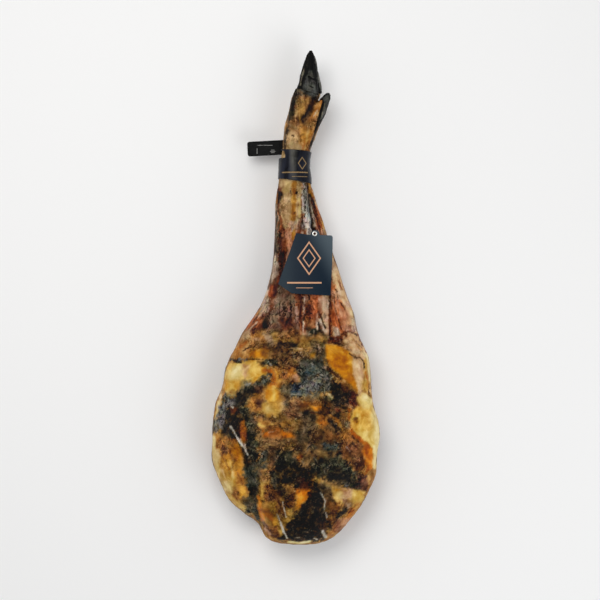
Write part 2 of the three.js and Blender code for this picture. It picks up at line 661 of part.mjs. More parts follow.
function buildHam() {
  const pieces = new THREE.Group();
  const ham = hamGeometry();
  const foot = toSolid(ham);
  addMesh(pieces, 'ham', ham, COLOURS.ham, 0.55);
  const nearClaw = slanted(ovalStack(NEAR_CLAW, CLAW_STEPS, CLAW_POWER));
  addMesh(pieces, 'claw_near', nearClaw, COLOURS.horn, 0.5);
  addMesh(pieces, 'claw_far', ovalStack(FAR_CLAW, CLAW_STEPS, CLAW_POWER), COLOURS.horn, 0.5);
  for (const side of Object.keys(DEWCLAW_HEIGHTS)) {
    addMesh(pieces, `dewclaw_${side}`, dewclawHornGeometry(side, foot), COLOURS.horn, 0.5);
  }
  addMesh(pieces, 'ankle_band', bandGeometry(), COLOURS.band, 0.4);
  addMesh(pieces, 'seal', sealGeometry(), COLOURS.seal, 0.45);
  const lift = tagLift(ham);
  addMesh(pieces, 'tag', tagGeometry(lift), COLOURS.tag, 0.6);
  const eyelet = addMesh(pieces, 'eyelet', eyeletGeometry(), COLOURS.eyelet, 0.3, 1);
  eyelet.position.set(TAG_HOLE.x, TAG_HOLE.y, lift + tagShape(TAG_HOLE.x, TAG_HOLE.y));
  eyelet.rotation.set(Math.atan(TAG_SLOPE), Math.atan((TAG_HOLE.x - TAG_MIDDLE.x) / TAG_BOW_RADIUS), 0);
  return pieces;
}

// The frame's origin: under the middle of the whole, on the surface it lies on
function centred(pieces) {
  const box = new THREE.Box3().setFromObject(pieces, true);
  const middle = box.getCenter(new THREE.Vector3());
  pieces.position.set(-middle.x, -middle.y, -box.min.z);
  return new THREE.Group().add(pieces);
}

export default centred(buildHam());
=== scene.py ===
# %% [markdown]
# # Whole cured ham
# A dry-cured leg with its trotter lies on its inner side. Its long axis runs along Y, with the hoof at +Y.
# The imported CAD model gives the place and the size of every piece. The ham, claws and dewclaws are closed
# solids, and the ankle band, the seal, the card tag and its eyelet are separate things put on it.
# Lengths are in millimetres until a mesh is made, because that is how such a leg is measured.

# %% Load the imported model
import bpy
import bmesh
import math
import numpy as np
from mathutils import Matrix, Vector
from mathutils.bvhtree import BVHTree


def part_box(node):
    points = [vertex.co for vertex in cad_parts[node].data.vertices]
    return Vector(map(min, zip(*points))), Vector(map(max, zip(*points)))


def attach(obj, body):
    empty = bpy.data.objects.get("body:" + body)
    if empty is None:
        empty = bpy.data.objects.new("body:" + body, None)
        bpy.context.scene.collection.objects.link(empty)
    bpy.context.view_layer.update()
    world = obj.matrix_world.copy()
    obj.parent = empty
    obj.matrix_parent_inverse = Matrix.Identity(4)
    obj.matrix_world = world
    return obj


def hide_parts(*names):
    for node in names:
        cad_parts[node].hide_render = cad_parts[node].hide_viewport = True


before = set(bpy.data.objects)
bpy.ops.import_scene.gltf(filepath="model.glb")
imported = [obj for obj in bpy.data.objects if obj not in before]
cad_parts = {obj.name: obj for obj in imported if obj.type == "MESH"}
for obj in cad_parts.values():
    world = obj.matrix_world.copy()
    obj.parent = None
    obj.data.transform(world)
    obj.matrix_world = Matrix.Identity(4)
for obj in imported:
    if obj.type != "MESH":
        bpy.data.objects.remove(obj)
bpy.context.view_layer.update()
MM = 0.001
print("CAD nodes", sorted(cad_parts))


# %% [markdown]
# ## Camera, light and floor
# The photo looks straight down on the ham, or straight at it while it hangs, with no visible perspective.
# A long lens at 3.1 m gives that view. The light is soft and comes mostly from above, a little from the
# hoof end, as the small highlights on the hoof and the seal show.

# %% Camera, lights and floor
SILHOUETTE_HEIGHT = 55.0
CAMERA_DISTANCE = 3124.0
CAMERA_X = 7.67
CAMERA_Y = -3.4
LENS = 110.0
SENSOR_WIDTH = 36.0
CLIP_END = 20.0
PHOTO_PIXEL = 1.704
PHOTO_MIDDLE_X = 295.5
PHOTO_MIDDLE_Y = 298.0
# Name, place, target and size in metres, watts, tint
LIGHTS = (
    ("key", (-0.5, 0.9, 2.2), (0, -0.05, 0), (1.6, 1.3), 26, (1.0, 0.99, 0.97)),
    ("fill", (1.2, -1.2, 1.8), (0, -0.1, 0), (1.6, 1.6), 16, (0.97, 0.985, 1.0)),
)
OVERHEAD_STRENGTH, HORIZON_STRENGTH = 0.22, 0.75
OVERHEAD_FROM, HORIZON_TO = 0.9, 0.35
FLOOR_HALF = 6.0
FLOOR_DROP = 0.0004
FLOOR_GREY = 0.94


def add_camera():
    lens = bpy.data.cameras.new("camera")
    lens.lens = LENS
    lens.sensor_width = SENSOR_WIDTH
    lens.clip_end = CLIP_END
    camera = bpy.data.objects.new("camera", lens)
    camera.location = (CAMERA_X * MM, CAMERA_Y * MM, (SILHOUETTE_HEIGHT + CAMERA_DISTANCE) * MM)
    bpy.context.scene.collection.objects.link(camera)
    bpy.context.scene.camera = camera


def add_light(name, place, target, size, power, tint):
    lamp = bpy.data.lights.new(name, "AREA")
    lamp.shape = "RECTANGLE"
    lamp.size, lamp.size_y = size
    lamp.energy = power
    lamp.color = tint
    light = bpy.data.objects.new(name, lamp)
    light.location = place
    light.rotation_euler = (Vector(target) - Vector(place)).to_track_quat("-Z", "Y").to_euler()
    bpy.context.scene.collection.objects.link(light)


def add_world():
    """A room that is darker overhead, so that surfaces facing the camera keep their own depth of colour."""
    world = bpy.data.worlds.new("pale room")
    world.use_nodes = True
    tree = world.node_tree
    background = tree.nodes["Background"]
    place = tree.nodes.new("ShaderNodeTexCoord")
    parts = tree.nodes.new("ShaderNodeSeparateXYZ")
    fade = tree.nodes.new("ShaderNodeMapRange")
    fade.inputs["From Min"].default_value = HORIZON_TO
    fade.inputs["From Max"].default_value = OVERHEAD_FROM
    fade.inputs["To Min"].default_value = HORIZON_STRENGTH
    fade.inputs["To Max"].default_value = OVERHEAD_STRENGTH
    tree.links.new(place.outputs["Generated"], parts.inputs[0])
    tree.links.new(parts.outputs["Z"], fade.inputs["Value"])
    tree.links.new(fade.outputs[0], background.inputs["Strength"])
    background.inputs["Color"].default_value = (1.0, 1.0, 1.0, 1.0)
    bpy.context.scene.world = world


def add_floor():
    mesh = bpy.data.meshes.new("floor")
    corners = [(x * FLOOR_HALF, y * FLOOR_HALF, 0) for x, y in ((-1, -1), (1, -1), (1, 1), (-1, 1))]
    mesh.from_pydata(corners, [], [(0, 1, 2, 3)])
    floor = bpy.data.objects.new("floor", mesh)
    floor.location.z = -FLOOR_DROP
    material = bpy.data.materials.new("floor")
    material.use_nodes = True
    shader = material.node_tree.nodes["Principled BSDF"]
    shader.inputs["Base Color"].default_value = (FLOOR_GREY, FLOOR_GREY, FLOOR_GREY, 1)
    shader.inputs["Roughness"].default_value = 0.9
    shader.inputs["Specular IOR Level"].default_value = 0.1
    mesh.materials.append(material)
    bpy.context.scene.collection.objects.link(floor)


add_camera()
for light_values in LIGHTS:
    add_light(*light_values)
add_world()
add_floor()
bpy.context.scene.view_settings.view_transform = "Standard"
bpy.context.scene.view_settings.look = "None"
print("camera lens", LENS, "distance", CAMERA_DISTANCE)


# %% [markdown]
# ## Tools for shaping and painting
# Uneven things such as mould, dried fat and fibres come from one smooth noise, read in millimetres, so the
# shape and the colours agree with each other. The shader helpers only join nodes.

# %% Noise and distances
NOISE_SLOPES = 256
NOISE_GAIN = 1.6
FAR_AWAY = 1e9
TINY = 1e-9


def smooth_ramp(low, high, value):
    part = np.clip((value - low) / (high - low), 0.0, 1.0)
    return part * part * (3 - 2 * part)


def smooth_noise(points, cell, seed):
    """Gradient noise, from about -1 to 1, with features of the cell's size."""
    draw = np.random.default_rng(seed)
    slopes = draw.normal(size=(NOISE_SLOPES, 3))
    slopes /= np.linalg.norm(slopes, axis=1, keepdims=True)
    order = draw.permutation(NOISE_SLOPES)
    last = NOISE_SLOPES - 1
    place = points / cell
    corner = np.floor(place).astype(np.int64)
    inside = place - corner
    fade = inside ** 3 * (inside * (inside * 6 - 15) + 10)
    total = np.zeros(len(points))
    for step in np.ndindex(2, 2, 2):
        index = (corner + step) & last
        pick = order[(order[(order[index[:, 0]] + index[:, 1]) & last] + index[:, 2]) & last]
        reach = np.abs(1 - np.array(step) - fade).prod(axis=1)
        total += reach * ((inside - step) * slopes[pick]).sum(axis=1)
    return total * NOISE_GAIN


def layered_noise(points, *layers):
    """Noises added up. Each layer is a weight, a cell, a seed and, if drawn out along Y, by what share."""
    total = np.zeros(len(points))
    for weight, cell, seed, *along in layers:
        stretched = points * (1, along[0], 1) if along else points
        total += weight * smooth_noise(stretched, cell, seed)
    return total


def line_distance(places, path, closed=False):
    ends = np.roll(path, -1, axis=0) if closed else path[1:]
    nearest = np.full(len(places), FAR_AWAY)
    for start, end in zip(path, ends):
        along = end - start
        part = np.clip(((places - start) @ along) / max(along @ along, TINY), 0, 1)
        nearest = np.minimum(nearest, np.linalg.norm(places - start - part[:, None] * along, axis=1))
    return nearest


def inside_outline(places, outline):
    inside = np.zeros(len(places), bool)
    for start, end in zip(outline, np.roll(outline, -1, axis=0)):
        crosses = (start[1] > places[:, 1]) != (end[1] > places[:, 1])
        rise = end[1] - start[1] if start[1] != end[1] else TINY
        meets = start[0] + (places[:, 1] - start[1]) * (end[0] - start[0]) / rise
        inside ^= crosses & (places[:, 0] < meets)
    return inside


# %% Mesh helpers
SMOOTH_IN, SMOOTH_OUT = 0.5, -0.52


def read_vectors(items, name, count):
    flat = np.zeros(count * 3, np.float32)
    items.foreach_get(name, flat)
    return flat.reshape(-1, 3).astype(float)


def mesh_points(mesh):
    return read_vectors(mesh.vertices, "co", len(mesh.vertices)) / MM


def mesh_normals(mesh):
    return read_vectors(mesh.vertex_normals, "vector", len(mesh.vertices))


def set_points(mesh, points):
    mesh.vertices.foreach_set("co", (points * MM).astype(np.float32).ravel())
    mesh.update()


def even_out(points, mesh, rounds, inward=SMOOTH_IN, outward=SMOOTH_OUT):
    """Smooths without shrinking: each round pulls every point to its neighbours, then pushes it back."""
    pairs = np.zeros(len(mesh.edges) * 2, np.int32)
    mesh.edges.foreach_get("vertices", pairs)
    first, second = pairs.reshape(-1, 2).T
    count = np.bincount(first, minlength=len(points)) + np.bincount(second, minlength=len(points))
    for pull in [inward, outward] * rounds:
        middle = np.empty_like(points)
        for axis in range(points.shape[1]):
            near = np.bincount(first, points[second, axis], len(points))
            near += np.bincount(second, points[first, axis], len(points))
            middle[:, axis] = near / count
        points = points + pull * (middle - points)
    return points


def store(mesh, name, values):
    kind = "FLOAT_COLOR" if values.ndim == 2 else "FLOAT"
    layer = mesh.attributes.new(name, kind, "POINT")
    if values.ndim == 2:
        full = np.ones((len(values), 4), np.float32)
        full[:, :3] = values
        layer.data.foreach_set("color", full.ravel())
    else:
        layer.data.foreach_set("value", values.astype(np.float32))


def evaluated_mesh(thing):
    """The mesh of an object with its modifiers applied. The object itself is removed."""
    made = bpy.data.meshes.new_from_object(thing.evaluated_get(bpy.context.evaluated_depsgraph_get()))
    bpy.data.objects.remove(thing)
    return made


def working_copy(mesh):
    """An object in the scene that carries the mesh until its modifiers are applied."""
    thing = bpy.data.objects.new("working copy", mesh)
    bpy.context.scene.collection.objects.link(thing)
    return thing


# %% Shader helpers
def linear(colour):
    """A colour as it looks on a screen, 0 to 255, in the linear values that a shader takes."""
    part = np.asarray(colour, float) / 255
    return np.where(part < 0.04045, part / 12.92, ((part + 0.055) / 1.055) ** 2.4)


def screen(*colour):
    return tuple(linear(colour)) + (1.0,)


def add_node(tree, kind, inputs=None, **settings):
    node = tree.nodes.new(kind)
    for name, value in settings.items():
        setattr(node, name, value)
    for name, value in (inputs or {}).items():
        set_socket(tree, node.inputs[name], value)
    return node


def set_socket(tree, socket, value):
    """Links another node's output to the socket, or sets the socket's own value."""
    if isinstance(value, bpy.types.NodeSocket):
        tree.links.new(value, socket)
    else:
        socket.default_value = value


def maths(tree, operation, first, second=0.0, clamp=False):
    node = add_node(tree, "ShaderNodeMath", {0: first, 1: second}, operation=operation, use_clamp=clamp)
    return node.outputs[0]


def product(tree, *values):
    total = values[0]
    for value in values[1:]:
        total = maths(tree, "MULTIPLY", total, value)
    return total


def largest(tree, *values):
    total = values[0]
    for value in values[1:]:
        total = maths(tree, "MAXIMUM", total, value)
    return total


def away_from(tree, value, level):
    return maths(tree, "ABSOLUTE", maths(tree, "SUBTRACT", value, level))


def between(tree, value, low, high, start=0.0, end=1.0):
    inputs = {"Value": value, "From Min": low, "From Max": high, "To Min": start, "To Max": end}
    return add_node(tree, "ShaderNodeMapRange", inputs, interpolation_type="SMOOTHSTEP").outputs[0]


def stretched_to(tree, value, low, high, start=0.0, end=1.0):
    inputs = {"Value": value, "From Min": low, "From Max": high, "To Min": start, "To Max": end}
    return add_node(tree, "ShaderNodeMapRange", inputs).outputs[0]


def mixed(tree, factor, first, second):
    return add_node(tree, "ShaderNodeMix", {0: factor, 2: first, 3: second}).outputs[0]


def blended(tree, factor, first, second, blend="MIX"):
    node = add_node(tree, "ShaderNodeMix", data_type="RGBA", blend_type=blend, clamp_factor=True)
    for place, value in ((0, factor), (6, first), (7, second)):
        set_socket(tree, node.inputs[place], value)
    return node.outputs[2]


def vector_maths(tree, operation, first, second, third=(0, 0, 0)):
    inputs = {0: first, 1: second, 2: third}
    return add_node(tree, "ShaderNodeVectorMath", inputs, operation=operation).outputs[0]


def noise_of(tree, vector, cell, detail=2.0, roughness=0.5, distortion=0.0):
    """Noise whose features are about that many millimetres."""
    inputs = {"Vector": vector, "Scale": 1 / (cell * MM), "Detail": detail, "Roughness": roughness}
    inputs["Distortion"] = distortion
    return add_node(tree, "ShaderNodeTexNoise", inputs).outputs[0]


def object_place(tree, stretch=(1, 1, 1)):
    place = add_node(tree, "ShaderNodeTexCoord").outputs["Object"]
    if stretch == (1, 1, 1):
        return place
    return add_node(tree, "ShaderNodeMapping", {"Vector": place, "Scale": stretch}).outputs[0]


def layer(tree, name):
    return add_node(tree, "ShaderNodeAttribute", attribute_name=name)


def new_material(name, **shader_values):
    material = bpy.data.materials.new(name)
    material.use_nodes = True
    shader = material.node_tree.nodes["Principled BSDF"]
    for socket, value in shader_values.items():
        shader.inputs[socket.replace("_", " ")].default_value = value
    return material, material.node_tree, shader


def add_bump(tree, shader, height, distance, strength=1.0):
    """Makes the shader's surface look raised by the height value. The distance is in millimetres."""
    inputs = {"Height": height, "Distance": distance * MM, "Strength": strength}
    tree.links.new(add_node(tree, "ShaderNodeBump", inputs).outputs[0], shader.inputs["Normal"])


def new_piece(name, mesh, material, node):
    """A piece that stands for the CAD node, in its place, and rides on the ham."""
    piece = bpy.data.objects.new(name, mesh)
    bpy.context.scene.collection.objects.link(piece)
    mesh.materials.clear()
    mesh.materials.append(material)
    for face in mesh.polygons:
        face.use_smooth = True
    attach(piece, "root")
    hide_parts(node)
    return piece


print("helpers ready")


# %% [markdown]
# ## What the ham is covered with
# Each finish of the surface is a pair of screen colours, its dark and its light tone, with how far it
# stands out or sinks in (mm), how much it shines, how far its grain is drawn out along the leg, and how
# speckled it is. The mould, the fat and the dried lean are laid over each other, like the real ones, with
# torn edges.

# %% Finishes
FINISHES = {
    # fat
    "tan": ((118, 76, 30), (206, 156, 88), 0, 0.45, 0.4, 0.55),
    "gold": ((176, 106, 20), (230, 178, 74), 0, 0.7, 0, 0.18),
    "amber": ((146, 78, 6), (214, 140, 34), 0, 0.75, 0, 0.16),
    "bright": ((194, 150, 60), (232, 204, 122), 0.1, 0.75, 0, 0.14),
    "light": ((204, 176, 104), (236, 218, 162), 0.2, 0.7, 0, 0.12),
    "cream": ((184, 138, 92), (230, 200, 154), 0.2, 0.55, 0.1, 0.3),
    "beige": ((134, 104, 74), (202, 170, 134), 0.1, 0.5, 0.1, 0.4),
    "rim": ((204, 182, 112), (236, 226, 180), 0.1, 0.7, 0, 0.08),
    "yellow": ((164, 118, 48), (218, 182, 98), 0.1, 0.7, 0, 0.25),
    "orange": ((176, 86, 14), (230, 148, 46), 0, 0.7, 0, 0.3),
    "rust": ((136, 62, 14), (204, 118, 38), 0, 0.55, 0.5, 0.45),
    "olive": ((82, 54, 18), (176, 134, 62), 0, 0.55, 0.5, 0.55),
    "ochre": ((116, 66, 26), (212, 150, 74), 0, 0.55, 0.5, 0.55),
    "pink": ((150, 104, 76), (212, 170, 138), 0.2, 0.5, 0.1, 0.45),
    # dried crust
    "crust": ((52, 28, 14), (162, 104, 56), -0.2, 0.45, 0.6, 0.75),
    "russet": ((50, 20, 12), (140, 72, 42), -0.3, 0.5, 0.6, 0.7),
    "ash": ((50, 36, 24), (154, 116, 72), 0, 0.4, 0.5, 0.85),
    "smoke": ((32, 25, 17), (114, 84, 54), 0, 0.35, 0.5, 0.7),
    "umber": ((20, 11, 6), (86, 52, 28), -0.3, 0.45, 0.5, 0.75),
    "plum": ((54, 32, 24), (150, 100, 70), -0.2, 0.45, 0.5, 0.65),
    # mould
    "drab": ((38, 33, 26), (128, 110, 84), 0.1, 0.35, 0.4, 0.85),
    "black": ((0, 0, 0), (58, 47, 33), 0.2, 0.5, 0.3, 0.9),
    "green": ((8, 12, 10), (88, 88, 70), 0.3, 0.35, 0.2, 0.95),
    "grey": ((26, 30, 28), (110, 108, 94), 0.3, 0.3, 0.2, 0.95),
    "blue": ((22, 36, 40), (86, 102, 102), 0.3, 0.3, 0, 1),
    "night": ((8, 16, 28), (56, 74, 88), 0.2, 0.4, 0, 1),
    "lilac": ((56, 54, 56), (150, 144, 138), 0.3, 0.25, 0, 1),
    "maroon": ((16, 5, 6), (96, 50, 38), 0, 0.5, 0.4, 0.8),
    # pale marks; the flecks are partly salt and partly painted glints
    "fleck and glint": ((150, 140, 120), (224, 216, 200), 0.4, 0.35, 0, 0.3),
    "scratch": ((140, 132, 118), (218, 212, 200), -0.3, 0.4, 0.3, 0.2),
    # lean
    "lean dark": ((50, 22, 12), (150, 84, 50), -0.2, 0.5, 1, 0.65),
    "lean red": ((86, 34, 16), (176, 92, 54), 0, 0.55, 1, 0.6),
    "lean maroon": ((22, 9, 6), (92, 44, 28), -0.9, 0.55, 1, 0.6),
    "lean salmon": ((138, 84, 58), (216, 156, 118), 0.3, 0.5, 1, 0.5),
    "lean rust": ((128, 58, 26), (220, 136, 86), 0, 0.5, 1, 0.65),
    "lean brown": ((38, 24, 18), (130, 94, 74), -0.2, 0.45, 0.9, 0.9),
    "lean grey": ((80, 62, 48), (176, 148, 122), 0.1, 0.4, 0.9, 0.85),
    "streak": ((146, 118, 96), (236, 214, 190), 0.5, 0.5, 1, 0.6),
    "blush": ((120, 84, 68), (208, 166, 144), 0.4, 0.5, 1, 0.55),
    "tendon": ((66, 60, 54), (206, 200, 188), 1.2, 0.55, 1, 0.9),
    "tendon blue": ((96, 100, 98), (186, 192, 190), 1, 0.6, 1, 0.7),
    # skin and hair
    "skin": ((132, 102, 64), (214, 180, 132), 0.6, 0.5, 0.5, 0.42),
    "skin tan": ((86, 56, 30), (192, 142, 92), 0.4, 0.5, 0.6, 0.68),
    "skin orange": ((126, 72, 26), (216, 156, 88), 0.5, 0.55, 0.6, 0.58),
    "skin amber": ((114, 66, 14), (200, 144, 62), 0.5, 0.6, 0.7, 0.45),
    "skin yellow": ((164, 134, 78), (214, 186, 122), 0.7, 0.55, 0.5, 0.2),
    "skin dark": ((18, 11, 8), (68, 46, 30), -0.5, 0.4, 0.5, 0.7),
    "hair": ((16, 13, 10), (84, 74, 60), -0.3, 0.3, 1, 1),
    "fringe": ((30, 26, 20), (116, 96, 70), 0.2, 0.3, 0.8, 1),
    # the sunk creases are dark partly in their own colour and partly by painted shade
    "groove with painted shade": ((8, 6, 5), (48, 36, 26), -1.8, 0.5, 1, 0.8),
    # horn
    "horn black": ((0, 0, 0), (26, 25, 24), 0, 0.5, 0.9, 0.5),
    "horn grey": ((36, 36, 34), (88, 88, 84), 0.2, 0.45, 0.9, 0.35),
    "horn pale": ((72, 72, 68), (130, 129, 122), 0.3, 0.45, 0.9, 0.35),
    "horn crack": ((0, 0, 0), (14, 13, 12), -0.7, 0.3, 0.5, 0.3),
    "horn edge": ((60, 56, 46), (128, 122, 104), 0.3, 0.4, 0.9, 0.7),
}


# %% [markdown]
# ## The ham's shape
# The real leg is trimmed, salted and hung for years, so it shrinks unevenly: the fat cap stays smooth with
# shallow dents, and the shank dries into ridges along its tendons. The CAD solid is remeshed at about 2 mm,
# smoothed over its facets, then pushed in and out by the noise and by what covers each place.

# %% Remesh a node
REMESH_SMOOTHING = 14


def remeshed(node, cell):
    """The node's solid with even faces of the cell's size, its facets smoothed away."""
    source = working_copy(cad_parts[node].data.copy())
    modifier = source.modifiers.new("even mesh", "REMESH")
    modifier.mode = "VOXEL"
    modifier.voxel_size = cell * MM
    mesh = evaluated_mesh(source)
    set_points(mesh, even_out(mesh_points(mesh), mesh, REMESH_SMOOTHING))
    return mesh


def seen_places(points):
    """Where the camera sees each point, in the plane of the ham's outline."""
    rise = CAMERA_DISTANCE / (CAMERA_DISTANCE + SILHOUETTE_HEIGHT - points[:, 2])
    middle = np.array((CAMERA_X, CAMERA_Y))
    return middle + (points[:, :2] - middle) * rise[:, None]


# %% Strokes
STROKES = []


def finish_values(name):
    """A finish as one row: its two colours from 0 to 1, then relief, shine, grain and speckle."""
    dark, light, *rest = FINISHES[name]
    return np.array([*np.divide(dark, 255), *np.divide(light, 255), *rest])


def from_photo(pairs):
    """Photo pixels, across and down in turn, to millimetres of the frame."""
    pixels = np.reshape(np.array(pairs, float), (-1, 2))
    return (pixels - (PHOTO_MIDDLE_X, PHOTO_MIDDLE_Y)) * (PHOTO_PIXEL, -PHOTO_PIXEL)


def area(finish, edge, ragged, *pixels, cover=1.0):
    """Notes a patch with an outline. Its edge is that many millimetres soft and that many torn."""
    STROKES.append((finish, from_photo(pixels), True, 0.0, edge, ragged, cover))


def line(finish, width, edge, ragged, *pixels, cover=1.0):
    """Notes a streak along a path, as wide as that many pixels."""
    STROKES.append((finish, from_photo(pixels), False, width * PHOTO_PIXEL, edge, ragged, cover))


def all_strokes():
    """The strokes noted since the last call, from the lowest to the topmost."""
    taken = list(STROKES)
    STROKES.clear()
    return taken


# %% Fibres
LEG_TOP, LEG_LENGTH = 184.0, 256.0
LEG_HALF_WIDTHS = (41.0, 70.0)
FIBRE_HALF_WIDTH = 60.0
FIBRE_MIDDLE = (5, 0, 55)
CAP_FROM, CAP_WHOLE = -50, -90
LEG_STRETCH, CAP_STRETCH = 0.14, 0.40
BEND_CELL, BEND_SEEDS = 34, (13, 14, 15)
LEG_BEND, CAP_BEND = 2.5, 15.5


def fibre_places(points):
    """Where to read noise so that it runs in smears along the leg, spreads with it and bends on the cap."""
    down_leg = np.clip((LEG_TOP - points[:, 1]) / LEG_LENGTH, 0, 1)
    spread = FIBRE_HALF_WIDTH / (LEG_HALF_WIDTHS[0] + LEG_HALF_WIDTHS[1] * down_leg)
    on_cap = smooth_ramp(CAP_FROM, CAP_WHOLE, points[:, 1])
    along = LEG_STRETCH + (CAP_STRETCH - LEG_STRETCH) * on_cap
    bend = LEG_BEND + (CAP_BEND - LEG_BEND) * on_cap
    bends = np.stack([smooth_noise(points, BEND_CELL, seed) for seed in BEND_SEEDS], axis=1)
    stretched = (points - FIBRE_MIDDLE) * np.stack([spread, along, spread], axis=1)
    return (stretched + bends * bend[:, None]) * MM


# %% Lay finishes over each other
COLOUR_COLUMNS = {"paint_dark": 0, "paint_light": 3}
RELIEF_COLUMN = 6
VALUE_COLUMNS = {"shine": 7, "grain": 8, "speckle": 9}
# How far a face may turn from the photo's side and still be painted, and the noise that breaks that limit
FACING_WHOLE = 0.36
FACING_BREAKUP = (0.12, 18, 2)
# Noise layers as weight, cell and seed
TEARS = ((0.8, 11, 3), (0.65, 4.6, 7), (0.5, 2.3, 11))
SHIFTS = (((1, 16, 21), (0.5, 6, 22)), ((1, 16, 31), (0.5, 6, 32)))
WEAR = ((1, 7.5, 41), (0.7, 3.4, 42))
SHIFT_SHARE, MOST_SHIFT = 0.7, 4
WEAR_LOW, WEAR_HIGH, WEAR_SHARE = 0.05, 0.9, 0.5
TEAR_SHARE, TEAR_MARGIN = 0.8, 14
AREA_SOFTNESS = 1.5
LINE_TEAR_LIMIT = 0.7


class Coat:
    """The colours, relief, shine, grain and speckle that the finishes add up to at every point."""

    def __init__(self, mesh, base):
        self.mesh = mesh
        self.points = mesh_points(mesh)
        self.normals = mesh_normals(mesh)
        self.places = seen_places(self.points)
        upward = self.normals[:, 2] + layered_noise(self.points, FACING_BREAKUP)
        self.facing = smooth_ramp(0.0, FACING_WHOLE, upward)
        self.torn = layered_noise(self.points, *TEARS)
        shifts = [layered_noise(self.points, *layers) for layers in SHIFTS]
        self.shift = SHIFT_SHARE * np.stack(shifts, axis=1)
        self.worn = smooth_ramp(WEAR_LOW, WEAR_HIGH, layered_noise(self.points, *WEAR))
        self.layers = np.tile(finish_values(base), (len(self.points), 1))

    def lay(self, finish, cover, chosen=slice(None)):
        self.layers[chosen] += cover[:, None] * (finish_values(finish) - self.layers[chosen])

    def brush(self, finish, outline, closed, width, edge, ragged, cover):
        """Lays a finish inside an outline or along a path. A speckled one has more torn edges and gaps."""
        speckle = FINISHES[finish][-1]
        ragged *= TEAR_SHARE + TEAR_SHARE * speckle
        reach = width / 2 + 2 * (edge + ragged) + TEAR_MARGIN
        low, high = outline.min(axis=0) - reach, outline.max(axis=0) + reach
        inside_box = (self.places > low) & (self.places < high)
        chosen = inside_box.all(axis=1)
        places = self.places[chosen] + self.shift[chosen] * min(ragged, MOST_SHIFT)
        depth = -line_distance(places, outline, closed)
        if closed:
            edge *= AREA_SOFTNESS
            depth = np.where(inside_outline(places, outline), -depth, depth)
        else:
            depth += width / 2
            ragged = min(ragged, width * LINE_TEAR_LIMIT)
        share = smooth_ramp(-edge, edge, depth + ragged * self.torn[chosen])
        share *= 1 - WEAR_SHARE * speckle * self.worn[chosen]
        self.lay(finish, share * cover * self.facing[chosen], chosen)

    def paint(self, strokes):
        for stroke in strokes:
            self.brush(*stroke)

    def raised(self):
        """How far the finishes stand out at each point, evened once with the points beside it."""
        column = self.layers[:, RELIEF_COLUMN:RELIEF_COLUMN + 1]
        return even_out(column, self.mesh, 1, SMOOTH_IN, 0.0)[:, 0]

    def keep(self, relief):
        """Stores the finishes in the mesh and pushes its points out by the relief."""
        for name, column in COLOUR_COLUMNS.items():
            store(self.mesh, name, self.layers[:, column:column + 3])
        for name, column in VALUE_COLUMNS.items():
            store(self.mesh, name, self.layers[:, column])
        store(self.mesh, "flow", fibre_places(self.points))
        moved = self.points + self.normals * relief[:, None]
        moved[:, 2] = np.maximum(moved[:, 2], 0.0)
        set_points(self.mesh, moved)
        print("relief", round(relief.min(), 2), "to", round(relief.max(), 2), "mm on", len(relief), "points")


# %% Where the finishes lie on the ham, in pixels of the photo
# leg above the fat cap
area("lean dark", 3, 3, 225,345, 262,296, 276,225, 278,182, 316,182, 330,232, 352,300, 372,345)
area("skin", 3, 2, 270,186, 272,150, 318,150, 318,186)
# left edge and channel
area("lean brown", 3, 3, 268,300, 276,262, 280,232, 290,232, 292,262, 284,300)
line("lean grey", 5.4, 1.5, 2, 276,206, 276,232, 275,256, 272,276, 267,296)
line("hair", 1.6, 1, 3, 276,205, 276,230, 274,258, 270,280, 263,298)
line("hair", 1.2, 0.8, 2, 280,200, 279,232, 278,256, 275,274, cover=0.8)
area("lean maroon", 1.5, 1.6, 281,230, 286,238, 287,248, 285.6,258, 283,272, 280.6,284, 276.6,284,
     278,262, 279.4,244)
line("lean rust", 2, 1, 2, 282,226, 283.4,236, cover=0.8)
line("lean red", 1.8, 1, 2, 280.4,262, 277.4,282, cover=0.6)
line("groove with painted shade", 1.1, 0.7, 1, 284.6,232, 283.6,250, 281.6,268, cover=0.8)
# beside the tag, left
area("lean salmon", 1.5, 2, 286,230, 297,229, 292,248, 287,266, 283,276, 285,262, 287.6,250)
line("blush", 1.4, 0.9, 1.6, 289,250, 286,264, 283.6,274, cover=0.8)
# tongue of skin
area("skin", 1.5, 2, 281,180, 299,181, 302,184, 301,196, 299,204, 301,214, 298,222, 294,221, 291,226,
     288,231, 284,228, 281,219, 279,208, 281,199, 284,194, 280,186)
area("skin yellow", 2, 3, 283,180, 291,182, 290,192, 284,192, cover=0.6)
area("skin tan", 3, 3, 280,204, 286,206, 287,222, 283,222, cover=0.6)
line("skin amber", 4.5, 2, 2, 294,183, 293.5,200, 294,212, 293,220)
line("skin yellow", 3.2, 1.2, 1.5, 299.4,199, 300,208, 299.6,216)
area("skin dark", 1.2, 1.6, 278,190, 282,191.6, 283,195, 281,200, 278,203)
line("skin dark", 1.4, 0.6, 0.6, 296.6,192, 296.8,193.4)
line("skin dark", 1.2, 0.6, 0.6, 290.2,191.4, 290.4,192)
line("skin dark", 1.3, 0.6, 0.6, 288.8,201, 289.6,201.4)
line("skin dark", 1.2, 0.6, 0.6, 294.4,212, 294.6,213)
# frayed end of the skin
line("lean salmon", 2.6, 1, 2, 287,240, 289,230, 291,222)
line("skin amber", 2.4, 1, 2, 293,238, 294.5,224)
line("streak", 1.2, 0.7, 1.2, 292,231, 295,222)
line("streak", 1.4, 0.8, 1.2, 302.6,233, 303,222)
